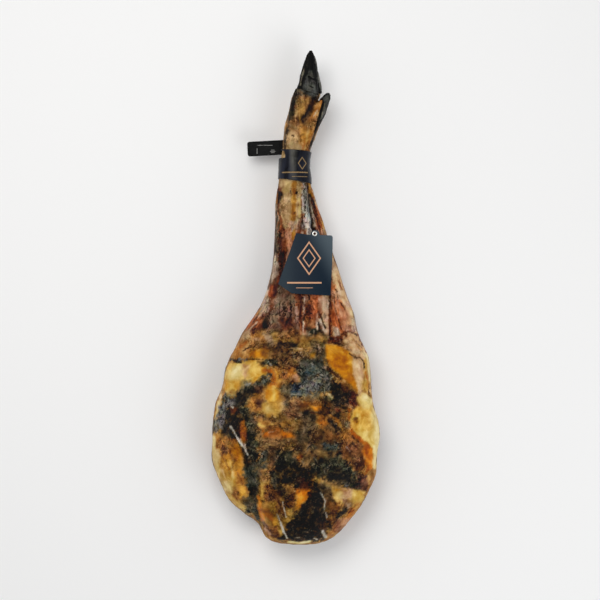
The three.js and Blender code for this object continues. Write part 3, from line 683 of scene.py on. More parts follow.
# tendons
line("tendon", 6, 1.5, 2, 304.8,182, 305.4,194, 306,204)
line("tendon", 6, 1.2, 2, 305,203, 307,216, 310,233)
line("fleck and glint", 1.5, 0.8, 1, 307.6,198, 308.6,210, 311.6,226, cover=0.85)
line("fleck and glint", 1, 0.6, 1.2, 302.4,188, 302.4,204, 304,220, 306.6,232, cover=0.7)
line("hair", 1.8, 0.9, 1.4, 303.8,185, 304.6,198, 305,208, cover=0.8)
line("tendon blue", 2.2, 0.9, 1.2, 306.8,204, 308.6,216, 311.4,229)
line("skin amber", 4.4, 1.4, 1.6, 309.6,183, 311,196)
line("lean brown", 1.8, 0.9, 1.4, 307.6,184, 308.2,194, cover=0.8)
line("groove with painted shade", 4.4, 1, 1.2, 309.4,196, 311.2,206, 312,216, 313.6,229)
line("fleck and glint", 0.8, 0.5, 1, 310.4,203, 311.4,212, cover=0.5)
line("lean maroon", 4.4, 1.2, 1.4, 314.4,201, 316.6,214, 320.4,228)
line("lean rust", 2.4, 1, 1.6, 316.4,206, 319.6,218, 323,232, cover=0.8)
line("blush", 1.6, 0.8, 1.4, 313.4,216, 315.4,224, 318.4,232, cover=0.7)
line("cream", 2, 0.9, 1, 312.8,190, 316.4,203, 320.6,214)
line("skin amber", 3, 1.1, 1.3, 319.6,211, 323,221, 325.6,233)
# right of the tag
area("cream", 2, 3, 331,250, 336,262, 350,300, 340,300, 332,284)
area("lean rust", 2, 2.4, 331,280, 335,284, 340,300, 331,300)
line("lean red", 1.6, 0.9, 2, 332.6,262, 337,276, 342,290, cover=0.7)
line("skin amber", 1.8, 0.8, 1, 334.5,254, 342,276, 350,298)
line("cream", 1.4, 0.8, 1, 336,258, 343.6,279, cover=0.8)
# below the tag, left of the middle
line("streak", 5, 1.6, 1.6, 268,292, 265.6,300, 261,308)
line("lean salmon", 5, 2, 2, 260,310, 256,318, 249,327)
line("skin tan", 3, 1.5, 1.6, 267,297, 263,306, cover=0.8)
area("lean red", 1.6, 1.8, 269,284, 280,286, 277,297, 274,309, 269,309, 269,297)
area("lean maroon", 1.6, 2, 273,284, 280,286, 277,296, 274,300, 273,292, cover=0.8)
area("lean grey", 1.6, 2.2, 279,286, 284,287, 283,297, 279,306, 274,312, 274,304)
area("lean brown", 2.4, 3, 283,295, 295,292, 296,306, 296,334, 280,334, 262,331, 262,316, 274,309)
area("lean grey", 3, 3.4, 277,302, 285,300, 287,306, 279,313, 274,312, cover=0.8)
# a painted highlight, in the lean grey finish
area("lean grey", 3, 3, 269,315, 279,315, 279,323, 270,323, cover=0.85)
area("drab", 2.6, 3.4, 288,295, 295,296, 295,308, 289,306, cover=0.8)
area("lean dark", 3, 4, 279,319, 294,318, 296,330, 282,330)
line("groove with painted shade", 0.9, 0.6, 1.8, 288,304, 282.6,312, 277,315, cover=0.8)
area("black", 2, 2.6, 262,319, 267,319, 269,329, 263,329)
# left slope
line("skin orange", 5, 2, 2.4, 263,308, 258.6,314)
area("lean salmon", 2, 2.4, 255,316, 261,316, 260,321, 254,322)
area("lean rust", 2.2, 3, 249,318, 261,320, 257,330, 244,336, 240,334)
line("streak", 1.4, 0.9, 1.6, 257,322, 250,330, cover=0.8)
line("lean maroon", 3, 1.5, 1.8, 252.4,330.6, 256,329.6)
line("lean maroon", 1.1, 0.7, 1.4, 259,322, 253,328, cover=0.7)
line("hair", 1, 0.6, 1.2, 268,297, 262,310, 254,322, 246,334, cover=0.6)
area("beige", 2.6, 3, 264,330, 276,330, 276,338, 265,338)
# below the tag, middle
line("blush", 3.4, 1.6, 2, 296.4,308, 297,318, 297,328)
line("lean rust", 2.4, 1.2, 1.6, 300,323, 300.4,334)
area("lean brown", 2, 2.6, 302,295, 309,295, 309,306, 303,306, cover=0.8)
line("streak", 1, 0.7, 1.4, 304.4,297, 305,304, cover=0.8)
line("streak", 1.4, 0.8, 1.2, 303.8,305.6, 304.2,313.6, cover=0.8)
area("lean rust", 2, 2.4, 312,299, 318,299, 318,314, 312,315)
area("lean red", 2, 2, 311,294, 320,294, 320,300, 312,300, cover=0.8)
area("lean maroon", 2.4, 2.8, 305,304, 312,304, 312,315, 306,315, cover=0.8)
area("skin dark", 1.6, 2.2, 302,315, 307,315, 307,320, 303,320)
area("lean dark", 2.4, 3, 306,316, 317,315, 317,330, 306,330)
area("skin tan", 3, 4, 308,317, 315,317, 315,327, 309,327, cover=0.55)
line("streak", 2.2, 1.1, 1.6, 303,320, 303.4,330, 304,338)
area("green", 2, 3, 305,328, 319,329, 326,332, 328,340, 306,340)
line("fleck and glint", 1.2, 0.7, 1.6, 309,330, 309.4,338, cover=0.7)
line("fleck and glint", 1.2, 0.7, 1.6, 314.4,331, 314.6,339, cover=0.7)
line("fleck and glint", 1.4, 0.8, 1.6, 319.6,334, 319.4,342, cover=0.8)
line("fleck and glint", 1.1, 0.7, 1.6, 324.6,335, 325,341, cover=0.7)
# pale bands under the tag
area("cream", 1.2, 1.8, 321.6,294, 328.6,294, 328.8,318, 328.6,339, 325,339, 322,318)
area("blush", 1.6, 2, 322,296, 328,296, 329,338, 326,338, 323,318, cover=0.6)
line("lean salmon", 3.4, 1.2, 1.8, 320.4,297, 320.4,313)
line("streak", 2.2, 1, 1.2, 317.6,314, 318,329)
line("streak", 3.4, 1.2, 1.4, 319.8,320, 324.6,331.4)
line("groove with painted shade", 1.3, 0.7, 1, 318.6,312, 321.6,318, 325.4,328.6)
line("groove with painted shade", 1.3, 0.7, 1, 319,323, 319.6,332, cover=0.85)
line("drab", 2, 1, 1.6, 324.4,313, 325,318, cover=0.7)
line("skin dark", 2, 1.2, 1.8, 321.4,332, 327,338, cover=0.8)
# a narrow painted shadow, in the lean maroon finish
line("lean maroon", 2, 1, 1.2, 329.8,297, 329.8,318, 330.2,340)
# orange lean of the right
area("lean rust", 2, 3, 331,295, 344,296, 348,318, 346,326, 342,334, 332,334, 330,316)
area("lean red", 2.6, 3, 332,310, 336,310, 336,324, 332,324, cover=0.8)
line("lean salmon", 2, 1, 1.8, 333,301, 336.4,312)
line("lean salmon", 2, 1, 1.8, 337.6,303, 342.4,316)
line("lean salmon", 2.2, 1, 1.8, 337.4,315, 342,327)
line("lean maroon", 1, 0.6, 1.4, 334.6,306, 337.6,316, cover=0.7)
line("lean maroon", 1.1, 0.7, 1.4, 338.6,319, 341,329, cover=0.7)
line("lean maroon", 1.6, 0.8, 1.2, 340.6,302.6, 345.4,309.6)
area("beige", 1.8, 2.2, 332,326, 336,327, 340,336, 333,337)
area("streak", 1.2, 1.5, 333.8,327.6, 336,328, 340,335.8, 335,337)
area("cream", 1.8, 2.2, 340,291, 347,292, 353,306, 356,318, 355,327, 347,325, 346,310, 341,300)
area("blush", 2, 2, 344,301, 349,302, 350,307, 345,306, cover=0.8)
area("light", 3, 2.4, 347,309, 353,310, 355,325, 348,325, cover=0.5)
area("blush", 1.8, 2, 344,327, 356,327, 358,333, 346,333)
line("lean maroon", 1.6, 0.9, 1.4, 342.6,334.6, 346,332.6, 350.6,330, cover=0.85)
area("cream", 2, 2.6, 347,333, 357,331, 361,340, 369,350, 362,354, 350,347)
line("lean maroon", 1.1, 0.7, 1.4, 352,332.6, 358,335, cover=0.8)
line("hair", 1.2, 0.7, 1, 345,288, 351,305, 354.8,320, 357.6,327.6, 364,344, cover=0.65)
area("lean maroon", 1.4, 2.2, 331,337, 343,336.6, 344,343.6, 332,343.4)
line("streak", 1.1, 0.7, 1.2, 335.6,339, 336.6,342.4, cover=0.6)
line("streak", 1.1, 0.7, 1.2, 340,339, 340.6,342.4, cover=0.6)
# small patches where a comparison with the photo showed the leg's tone to be off
area("streak", 2, 2.6, 262,300, 270,298, 269,312, 260,316, cover=0.8)
area("streak", 2, 2.6, 271,256, 278,255, 278,274, 270,282, cover=0.75)
line("cream", 2.2, 1.2, 1.8, 273,236, 272,256, 270,276, 264,296, cover=0.7)
area("blush", 3, 3, 238,333, 250,330, 252,338, 240,341, cover=0.6)
area("groove with painted shade", 1.6, 2, 301,250, 309,250, 309,261, 301,261, cover=0.6)
area("streak", 2, 2.4, 321,229, 330,230, 330,241, 322,240, cover=0.5)
area("lean rust", 1.8, 2.4, 281,240, 289,239, 288,251, 281,251, cover=0.6)
area("cream", 2, 2.4, 331,260, 338,262, 341,280, 333,279, cover=0.7)
area("streak", 2, 2.4, 291,220, 299,220, 299,230, 291,230, cover=0.6)
line("streak", 1.8, 1, 1.6, 310,198, 312,212, 315,226, cover=0.7)
area("tendon", 1.6, 2, 301,219, 309,219, 309,229, 302,229, cover=0.5)
area("lean brown", 2, 2.6, 290,320, 299,320, 300,330, 291,331, cover=0.6)
area("lean salmon", 2.4, 2.6, 340,308, 350,309, 352,331, 342,331, cover=0.8)
area("beige", 2.6, 3, 300,330, 310,330, 310,339, 301,339, cover=0.6)
area("streak", 2, 2.4, 320,299, 329,299, 329,311, 321,311, cover=0.5)
area("lean salmon", 1.8, 2.4, 281,229, 289,229, 289,240, 282,241, cover=0.5)
area("streak", 2, 2.6, 351,318, 359,319, 361,331, 352,331, cover=0.75)
area("skin", 2, 2.4, 280,200, 290,199, 290,221, 282,221, cover=0.6)
area("lean grey", 2.6, 3, 270,299, 281,300, 280,311, 270,311, cover=0.5)
area("lean brown", 2.6, 3, 280,299, 291,300, 290,311, 281,311, cover=0.5)
area("lean red", 2.6, 3, 310,309, 320,309, 320,321, 311,321, cover=0.5)
area("streak", 2, 2.4, 330,259, 337,260, 340,271, 331,271, cover=0.5)
area("streak", 2, 2.6, 330,290, 341,291, 341,300, 331,300, cover=0.4)
area("tendon", 1.8, 2, 301,188, 309,189, 311,231, 302,231, cover=0.45)
area("lean grey", 2.6, 3, 280,291, 291,290, 291,300, 281,301, cover=0.5)
# foot
area("skin tan", 3, 3, 294,88, 320,92, 322,120, 316,140, 313,152, 284,152, 286,132, 290,106)
area("skin", 5, 2.6, 284,130, 293,131, 302,140, 305,153, 283,153)
area("skin orange", 3, 3, 301,126, 317,124, 313,142, 310,152, 301,152, cover=0.85)
area("skin amber", 3, 3, 303,128, 313,127, 310,146, 303,146, cover=0.6)
line("skin yellow", 1.8, 1.2, 2, 309,127, 306,140, 305,150, cover=0.5)
area("skin tan", 3, 3, 288,116, 302,122, 301,131, 287,131, cover=0.6)
area("fringe", 1.4, 1.6, 297,86, 302,88, 308,94, 318,97, 319,101, 311,99, 303,96, 297,93)
area("horn grey", 1.2, 1, 300,87, 319,87, 319,97, 316.6,100, 310,96.6, 305,93.6, 301,90.6)
area("horn pale", 1.4, 1.4, 306,90, 314,93, 315,97, 309,94, cover=0.6)
line("horn crack", 1.2, 0.6, 0.8, 317.6,88, 318.4,97)
area("hair", 1.6, 1.8, 292,84, 300,84, 300,92, 297,102, 294,110, 292,120, 285,122, 288,106)
line("hair", 2.4, 1.2, 2, 290,116, 287.4,130, 285.4,142, cover=0.8)
area("skin dark", 1.6, 2, 311,96, 319,97, 319,101, 312,108, 308,108, cover=0.85)
area("skin orange", 1.8, 2, 313,109, 321,101, 323,106, 319,115, 311,125, 306,122)
# a painted highlight on the dewclaw's skin, in the streak finish
line("streak", 1.4, 0.8, 1.4, 317.4,110, 313.4,116, cover=0.8)
area("skin dark", 2, 1.6, 298,119, 302,113, 307,107, 311,104, 315,104, 314,109, 310,114, 307,121,
     303,124, 299,122)
area("groove with painted shade", 1.6, 1, 300,119, 305,112, 310,106, 310,111, 306,118, 302,122)
area("skin tan", 3, 3, 303,120, 316,118, 316,130, 304,131, cover=0.7)
line("hair", 2.6, 1.2, 1.4, 320.6,117, 317,127, 313.6,138, 310.6,149)
line("skin dark", 1.2, 0.6, 0.8, 292,135.6, 293.4,136.2, cover=0.8)
line("skin dark", 1.3, 0.6, 1, 301,135, 304,134.4, cover=0.7)
line("skin dark", 1, 0.6, 0.6, 297,141, 297.4,141.6, cover=0.6)
line("skin dark", 1.1, 0.8, 1.6, 290,126, 298,129, cover=0.5)
line("skin", 2.6, 1.2, 1.8, 296,100, 297.6,108, 296,116, cover=0.6)
area("skin tan", 2.2, 2.6, 300,98, 307,98, 306,110, 303,114, 299,112, cover=0.8)
area("olive", 3, 3, 297,98, 308,98, 306,108, 301,117, 296,114, cover=0.6)
line("skin", 3, 2, 2.4, 289,103, 291,110, 291,118, cover=0.4)
area("skin amber", 2.4, 2.6, 299,128, 306,128, 306,146, 300,146, cover=0.4)
area("fringe", 1.6, 2, 290,102, 294,100, 294,114, 289,118, cover=0.8)
line("skin", 2.6, 1.6, 2, 289,124, 292,127, 296,129, cover=0.7)
line("skin", 3.4, 1.4, 1.6, 317,112, 319.6,116, cover=0.7)
area("skin dark", 1, 1.2, 284,140, 286,140, 285.6,152, 283,152, cover=0.8)
line("skin amber", 2, 1.2, 2, 300,118, 301,126, cover=0.6)
# base of the fat cap
area("tan", 2.5, 5, 200,340, 262,331, 300,336, 328,343, 350,347, 372,352, 400,350, 400,560,
     200,560)
area("ash", 3, 5, 262,330, 286,331, 300,334, 327,334, 330,346, 300,348, 262,344)
area("ash", 5, 7, 250,402, 262,396, 284,400, 300,398, 320,398, 350,406, 350,440, 340,470,
     300,470, 262,460, 252,430)
# upper left flank
area("ochre", 4, 4, 230,362, 241,342, 250,334, 262,333, 270,342, 262,352, 250,356, 240,358)
area("cream", 5, 4, 240,352, 247,341, 252,342, 250,349, 244,356, cover=0.5)
area("pink", 3, 3, 253,338, 261,338, 261,346, 254,346)
line("rust", 2.4, 2, 3, 237,352, 246,341, cover=0.7)
area("crust", 3, 5, 250,343, 258,341, 268,343, 270,351, 258,352, 250,350, cover=0.85)
area("amber", 3, 4, 251,349, 266,347, 269,352, 267,358, 254,358, 250,354)
area("umber", 3, 3.4, 272,350, 279,349, 279,362, 273,360, cover=0.6)
line("umber", 1.1, 0.7, 1.5, 243,351, 249,347.5, 255,346.5)
area("beige", 3, 3, 264,334, 273,334, 275,342, 272,347, 266,344)
area("yellow", 2.5, 3, 272,334, 278,334, 278,343, 274,344, cover=0.8)
area("tan", 3, 4, 274,336, 300,337, 326,337, 327,346, 300,348, 278,344)
area("olive", 3, 4, 284,339, 304,338, 326,340, 326,347, 304,349, 290,348, cover=0.8)
area("black", 2.5, 3.5, 276,343, 284,342, 297,342, 299,347, 288,349, 278,348)
# painted glints on the black mould
line("fleck and glint", 1.1, 0.8, 1.5, 279,346, 283.5,347, cover=0.7)
line("cream", 1.6, 1, 1.5, 289,348.6, 295,348, 303,349)
area("ash", 3, 5, 275,350, 300,349, 326,348, 328,360, 310,366, 284,372, 275,366)
area("drab", 4, 5, 310,342, 326,341, 329,358, 318,360, 309,354, cover=0.7)
area("gold", 2.5, 3, 309,354, 314,353, 315,357, 310,358, cover=0.8)
line("black", 1.5, 1.2, 3, 279,356, 283,362, 282,367, cover=0.8)
line("streak", 1.1, 0.8, 2, 292,352, 295,358, cover=0.7)
line("streak", 1, 0.8, 2, 301,352, 304,359, cover=0.6)
line("streak", 1, 0.8, 2, 318,345, 320,353, cover=0.6)
# bright fat of the upper left
area("bright", 2.2, 3, 229,364, 237,362, 248,361, 258,361, 260,364, 258,366, 266,367, 269,369,
     267,373, 262,378, 256,383, 247,381, 242,386, 235,390, 225,392, 223,386, 225,375)
line("gold", 5, 4, 3, 231,366, 226,378, 226,388)
area("light", 5, 3, 231,366, 241,365, 242,374, 238,383, 231,381, 230,372)
area("pink", 3, 3, 242,364, 248,364, 249,376, 244,379, cover=0.75)
area("gold", 4, 3, 232,382, 243,378, 250,381, 242,387, 234,389, cover=0.7)
area("gold", 3, 3, 255,373, 262,373, 260,379, 254,382, cover=0.6)
area("amber", 2.2, 2.5, 261,368, 268,368, 268,372, 262,374)
# a painted glint on the amber fat
line("fleck and glint", 1.1, 0.6, 0.8, 267,368, 267.6,368.6)
# crack across the upper left
line("black", 3.4, 1.2, 1.6, 231,359.6, 236,360, 240,361)
line("lilac", 2.2, 1.2, 2, 239,359.5, 247,359.5)
line("umber", 1.3, 0.7, 1, 248,359.5, 256,359.2, 265,360)
area("black", 1.5, 2, 257.5,360.5, 264,360.5, 266,364, 262,366, 259,365)
area("green", 2, 3, 263,360, 273,358, 276,362, 275,368, 268,367)
line("fleck and glint", 1.2, 0.8, 1.2, 269,362, 272,366.5, cover=0.8)
# orange and gold column
area("ochre", 2.5, 3.5, 268,369, 283,368, 284,379, 281,392, 281,403, 270,403, 265,396, 270,382)
area("rust", 2.5, 3, 268,370, 274,370, 276,380, 276,386, 269,386, 271,378)
area("gold", 2.5, 3, 275,370, 282,370, 283,380, 279,387, 276,382, cover=0.7)
area("amber", 2.2, 2.5, 265,390, 270,389, 271,401, 266,400)
area("gold", 2.2, 2.5, 268,386, 278,386, 279,396, 277,403, 268,403, 269,393)
line("bright", 3, 2.5, 2, 274,387, 274.5,396, 273,401, cover=0.7)
# mould running down from the crack
area("grey", 2.2, 4, 262,376, 270,375, 271,381, 265,386, 256,394, 250,398, 248,406, 238,412,
     226,410, 222,402, 224,394, 234,396, 240,390, 246,384, 254,383)
area("black", 2.5, 4, 243,388, 252,387, 262,388, 264,393, 257,396, 249,397, 247,405, 238,408,
     235,398, 240,393)
# painted glints on the mould
line("fleck and glint", 1.3, 0.8, 1.2, 246,384.5, 250.6,383.4)
line("fleck and glint", 1, 0.7, 1, 247,386, 250,385, cover=0.6)
area("plum", 3, 4, 256,387, 264,386, 264,394, 257,395, cover=0.7)
area("lilac", 3, 4, 224,394, 234,396, 236,406, 226,408)
area("light", 2.5, 2.5, 226,391, 235,391, 236,396, 227,396, cover=0.55)
line("cream", 3, 1.6, 2, 222.4,384, 220.6,394, 219.4,402)
line("light", 2.6, 1.4, 1.6, 218.6,402, 217,414, 215,424, cover=0.8)
# left black mould
area("black", 2.2, 3, 222,410, 236,406, 248,410, 252,420, 256,434, 260,448, 258,460, 250,468,
     243,466, 241,452, 237,443, 227,440, 219,434, 220,424)
area("green", 3, 4, 238,407, 251,407, 253,414, 255,430, 251,440, 246,428, 246,415, 239,413)
area("lilac", 2.2, 3, 218,407, 226,407, 225,416, 223,430, 217,433, 216,424)
area("green", 4, 4, 250,432, 258,438, 259,452, 252,462, 247,450, cover=0.6)
area("russet", 2, 2.5, 230,408, 238,408, 239,413, 232,413, cover=0.8)
area("rust", 1.8, 2.4, 239,422, 243,421, 246,430, 246,440, 243,446, 241,438, cover=0.8)
line("fleck and glint", 1.3, 0.8, 0.9, 231.6,407, 233,407.6)
# left orange flank
area("ochre", 2.5, 3.5, 212,434, 222,436, 232,438, 239,444, 242,454, 243,468, 245,480, 248,490,
     247,498, 236,500, 226,492, 219,478, 213,458)
area("gold", 4, 4, 222,452, 230,452, 234,468, 234,482, 227,480, 223,466, cover=0.6)
area("amber", 3, 3, 234,440, 241,446, 242,462, 241,475, 236,474, 234,456, cover=0.7)
area("plum", 2.5, 3, 220,446, 228,446, 228,454, 221,454)
line("crust", 1.3, 0.9, 2.5, 229,448, 232,458, 233,467, cover=0.8)
line("crust", 1.2, 0.9, 2.5, 224,456, 227,466, 231,474, cover=0.7)
line("crust", 1.4, 1, 2.5, 236,470, 240,478, 242,484, cover=0.8)
area("bright", 3.5, 3, 225,476, 236,477, 237,488, 232,492, 228,486, cover=0.7)
area("gold", 2.5, 3, 238,484, 246,488, 247,496, 240,498, cover=0.8)
area("crust", 2.5, 3, 232,487, 238,487, 238,495, 232,493, cover=0.7)
line("light", 4.6, 2.2, 1.6, 213,437, 213.6,450, 216,463, 220.5,476, 226,487)
line("yellow", 5, 2, 2.4, 229,494, 236,502, 247,510)
# mould down the left furrow
area("green", 2.2, 3, 244,463, 252,462, 258,464, 259,480, 260,500, 262,524, 255,518, 246,511,
     243,500, 250,496, 247,486, 244,476)
area("grey", 4, 3, 245,466, 256,466, 257,486, 250,486, 246,476, cover=0.8)
area("black", 2.5, 3, 250,488, 258,487, 260,498, 257,504, 252,500)
area("drab", 3, 3, 244,498, 256,498, 256,511, 248,510)
line("drab", 4, 2, 3, 259.6,458, 259.6,476, 259,490)
line("grey", 5, 2.5, 2, 255,506, 259,518)
line("scratch", 2, 1, 1.4, 230.6,426, 235,433.6, 239.6,441)
line("streak", 3.2, 1.6, 2, 240,441, 243.4,446, 245.6,452, cover=0.85)
line("scratch", 1.6, 0.8, 1.2, 239,441, 245.4,450, 248,455)
line("fleck and glint", 1.1, 0.7, 1.2, 248,459, 252,455, cover=0.5)
# brown mottled middle left
area("ochre", 3, 4, 249,398, 262,395, 266,402, 263,412, 252,412, 247,406)
area("plum", 3, 3.5, 256,400, 265,400, 265,408, 257,408)
area("drab", 3, 4, 247,412, 256,412, 256,432, 250,434)
area("yellow", 2.5, 3, 263,404, 272,402, 280,403, 285,407, 281,412, 276,417, 266,416, 262,410)
area("light", 3, 2.5, 266,407, 273,406, 273,412, 267,412, cover=0.7)
area("cream", 3, 3, 277,402, 284,403, 285,411, 280,412, cover=0.6)
area("pink", 2.5, 2.5, 257,414, 263,414, 263,419, 258,419, cover=0.55)
area("ochre", 3.5, 5, 255,417, 270,419, 276,424, 290,420, 292,428, 276,432, 262,430, cover=0.8)
line("yellow", 2.4, 1.5, 2.5, 259,424, 265,426.4, 272,423.6)
area("crust", 2.5, 4, 264,426, 278,424, 282,432, 270,434)
line("black", 1.8, 1, 1.5, 278.6,425, 284,431, cover=0.85)
area("olive", 4, 4, 278,414, 292,414, 293,426, 282,426, cover=0.6)
area("plum", 3, 3.5, 284,409, 291,409, 291,419, 286,419, cover=0.7)
area("rust", 2.2, 3, 262,431, 276,430, 292,432, 295,437, 280,439, 263,438)
line("orange", 3.2, 1.6, 2, 281,433.6, 293,436)
line("streak", 1, 0.7, 1.5, 268,432.4, 276,431, cover=0.6)
# browns beside the blue grey mould
area("crust", 3, 4, 281,366, 300,364, 301,372, 300,384, 286,384, 281,378)
area("orange", 2.5, 3, 287,369, 295,369, 296,376, 289,377, cover=0.7)
area("pink", 3, 3, 292,374, 300,374, 300,381, 293,380, cover=0.75)
area("grey", 2.5, 4, 299,360, 308,358, 322,359, 332,370, 333,384, 345,384, 330,392, 316,394,
     302,396, 288,398, 280,390, 284,384, 300,381, 298,370)
area("blue", 2.5, 3, 304,364, 312,364, 313,374, 304,374)
area("lilac", 3.5, 5, 307,376, 316,376, 320,384, 318,393, 308,393, 304,386, cover=0.85)
area("night", 2, 2.5, 290,384, 300,384, 300,392, 292,392)
line("fleck and glint", 1.6, 1, 1.6, 291.6,394, 299.6,394, cover=0.6)
area("drab", 3, 3, 282,392, 290,392, 290,406, 284,405)
line("fleck and glint", 1.1, 0.8, 1, 312,362.6, 313,365, cover=0.7)
line("fleck and glint", 1.2, 0.8, 1, 321,374, 322.6,376, cover=0.8)
line("fleck and glint", 1.2, 0.8, 1, 300,362, 301,365, cover=0.5)
line("black", 2.4, 1.6, 3, 318,360, 326,366, 332,373, cover=0.7)
# very dark right
area("black", 2.5, 3.5, 331,381, 342,382, 352,390, 357,398, 354,405, 340,408, 326,406, 322,399,
     330,392)
area("crust", 2.5, 3.5, 338,381, 348,382, 352,391, 342,391, cover=0.85)
area("russet", 2, 2.6, 350,392, 358,394, 359,406, 352,410, 349,404)
# a painted glint, in the cream finish
line("cream", 2.2, 1, 1.3, 338.6,375.6, 345,381)
line("pink", 2, 1.2, 1.5, 325,367, 329.4,370, cover=0.8)
line("umber", 4, 2, 3, 329.5,369, 334,373, 340,378, cover=0.85)
area("light", 1.6, 2, 325,393, 330,393, 335,399, 332,401, cover=0.75)
line("drab", 4, 2, 3, 326,398, 333,404, cover=0.8)
# amber fat of the upper right
area("amber", 1.8, 2, 326,345, 341,346, 345,350, 352,354, 353,358, 351,368, 353,375, 356,383,
     358,393, 353,387, 347,380, 339,374, 332,367, 326,358)
area("gold", 4, 3, 327,346, 343,348, 345,355, 334,356, 328,354, cover=0.75)
line("gold", 5, 3, 2, 349,354, 350,364, 351,372, cover=0.8)
# pale strip and edge of the upper right
line("cream", 11, 2.5, 2, 350,342, 360,348, 366,358, 369.6,374, 371,388)
area("cream", 3, 3, 345,338, 356,340, 364,350, 358,357, 350,352, 343,346)
line("ochre", 2, 1.5, 2.5, 354,341, 360,350, cover=0.6)
area("cream", 1.8, 2, 353,359, 361,358, 363,364, 363,376, 363,395, 358,394, 356,383, 353,374)
line("pink", 2.4, 2, 2, 359.6,362, 361.4,376, 361,388, cover=0.5)
line("yellow", 3.6, 1.6, 2, 365.6,360, 366.2,372, 366.6,390)
line("rust", 2.2, 1.4, 1.8, 365.4,372, 367.6,380, 368.4,390, cover=0.85)
line("rim", 3.6, 2, 1.6, 367.6,356, 370.4,368, 371,380)
line("umber", 1.2, 0.6, 1, 349.3,353.8, 356,357.8, 360.7,357.8, 363.8,361.8, 364.6,369)
line("russet", 1.4, 0.8, 1.6, 361.6,344, 366.4,351.6)
line("russet", 1.2, 0.8, 2, 356,341, 361,348, cover=0.6)
line("crust", 1.4, 0.9, 1.5, 369.4,384, 368.6,391, 370,397, cover=0.8)
# yellow fat of the right
area("bright", 2, 2.2, 357,397, 362,393, 371,399, 376,407, 380,424, 381,441, 372,449, 365,441,
     359,436, 352,429, 349,424, 351,417, 354,411, 359,406)
line("light", 6, 3, 2, 364,397, 372,402)
area("gold", 3, 3, 355,408, 361,407, 362,414, 355,416, 352,413, cover=0.75)
area("yellow", 4, 3, 361,405, 370,405, 372,424, 364,426, 361,415, cover=0.7)
line("light", 5.4, 2.6, 2, 374,412, 376.6,426, 377,440)
area("crust", 1.3, 1.8, 353.4,418, 357.6,417, 357,421.6, 354,422.4)
line("rust", 3.4, 1.8, 2.4, 350,407, 349.4,416, 348.6,424, 351,431)
line("pink", 2, 1.2, 1.6, 346,405, 351.4,408, cover=0.85)
# middle
area("ochre", 3, 4, 303,398, 320,398, 324,404, 308,406, 300,404)
area("orange", 2, 2.6, 308,405, 323,405, 323,410, 314,412)
area("plum", 4, 5, 290,398, 303,400, 306,416, 298,424, 288,418, cover=0.6)
area("drab", 3, 4, 299,411, 308,410, 317,413, 318,422, 308,426, 299,424)
area("smoke", 5, 6, 294,420, 318,422, 336,428, 340,440, 326,446, 300,446, 292,434)
area("drab", 5, 5, 295,424, 316,424, 316,440, 297,442, cover=0.75)
area("black", 1.8, 2, 302,411, 308,411, 307,415, 303,415)
line("umber", 1.8, 1, 1.6, 311,412.6, 318,414.6, 327,415)
area("smoke", 4, 5, 321,400, 334,403, 346,408, 348,420, 338,420, 326,416)
area("umber", 3, 3, 322,401, 331,402, 330,419, 324,414, cover=0.7)
area("russet", 2.5, 3, 334,407, 342,407, 342,413, 335,413, cover=0.85)
area("ochre", 2.6, 3.5, 317,415, 327,416, 330,424, 324,430, 317,426)
area("rust", 2.5, 3, 318,416, 325,417, 325,425, 319,425, cover=0.7)
line("ochre", 3.2, 1.6, 2.4, 330.4,416, 336,420, 341,425)
line("black", 3, 1.5, 2.4, 328,420.6, 334,425, 340,430.4)
line("yellow", 2.4, 1.4, 2.4, 340,424, 343,432, 346,440, cover=0.85)
area("lilac", 2, 2.6, 342,421, 349,421, 350,429, 344,428, cover=0.85)
area("crust", 4, 5, 326,430, 340,432, 345,442, 334,446, 326,440, cover=0.8)
line("fleck and glint", 0.9, 0.6, 1, 296.4,418, 296.8,430, cover=0.6)
# lower middle browns
area("ash", 4, 5, 261,440, 294,439, 300,446, 300,456, 288,452, 276,452, 262,452)
area("grey", 3, 3, 261,451, 268,450, 268,468, 261,468)
area("plum", 3.5, 4, 268,447, 276,448, 276,466, 268,467, cover=0.7)
area("olive", 3, 3, 284,443, 294,443, 294,450, 285,450, cover=0.5)
area("ash", 4, 5, 296,456, 316,458, 316,470, 302,472, 297,464)
area("rust", 2, 2.5, 296,455, 302,455, 302,461, 297,461, cover=0.8)
line("streak", 1.1, 0.8, 1.4, 300,459, 304,463, cover=0.6)
area("grey", 3, 3.5, 307,445, 317,445, 317,450, 308,450, cover=0.8)
# orange rim of the right
area("crust", 4, 5, 338,436, 346,432, 352,432, 363,442, 366,452, 366,470, 356,474, 346,462,
     338,450)
area("plum", 5, 5, 345,441, 360,446, 364,466, 354,470, 347,456, cover=0.6)
line("rust", 4, 2, 2, 351,430.6, 363,442.4, 371,450)
line("rust", 7, 3, 2.5, 366,448, 369.4,458, 369,468, 366,476)
line("orange", 4.4, 2, 1.8, 370,450, 371.6,459, 370.6,468)
line("rim", 4.6, 1.8, 1.4, 377,442, 377,454, 375,466)
area("tan", 2.5, 3, 366,472, 374,470, 372,482, 368,487, 365,480)
area("russet", 2, 3, 363,478, 368,478, 369,490, 364,492)
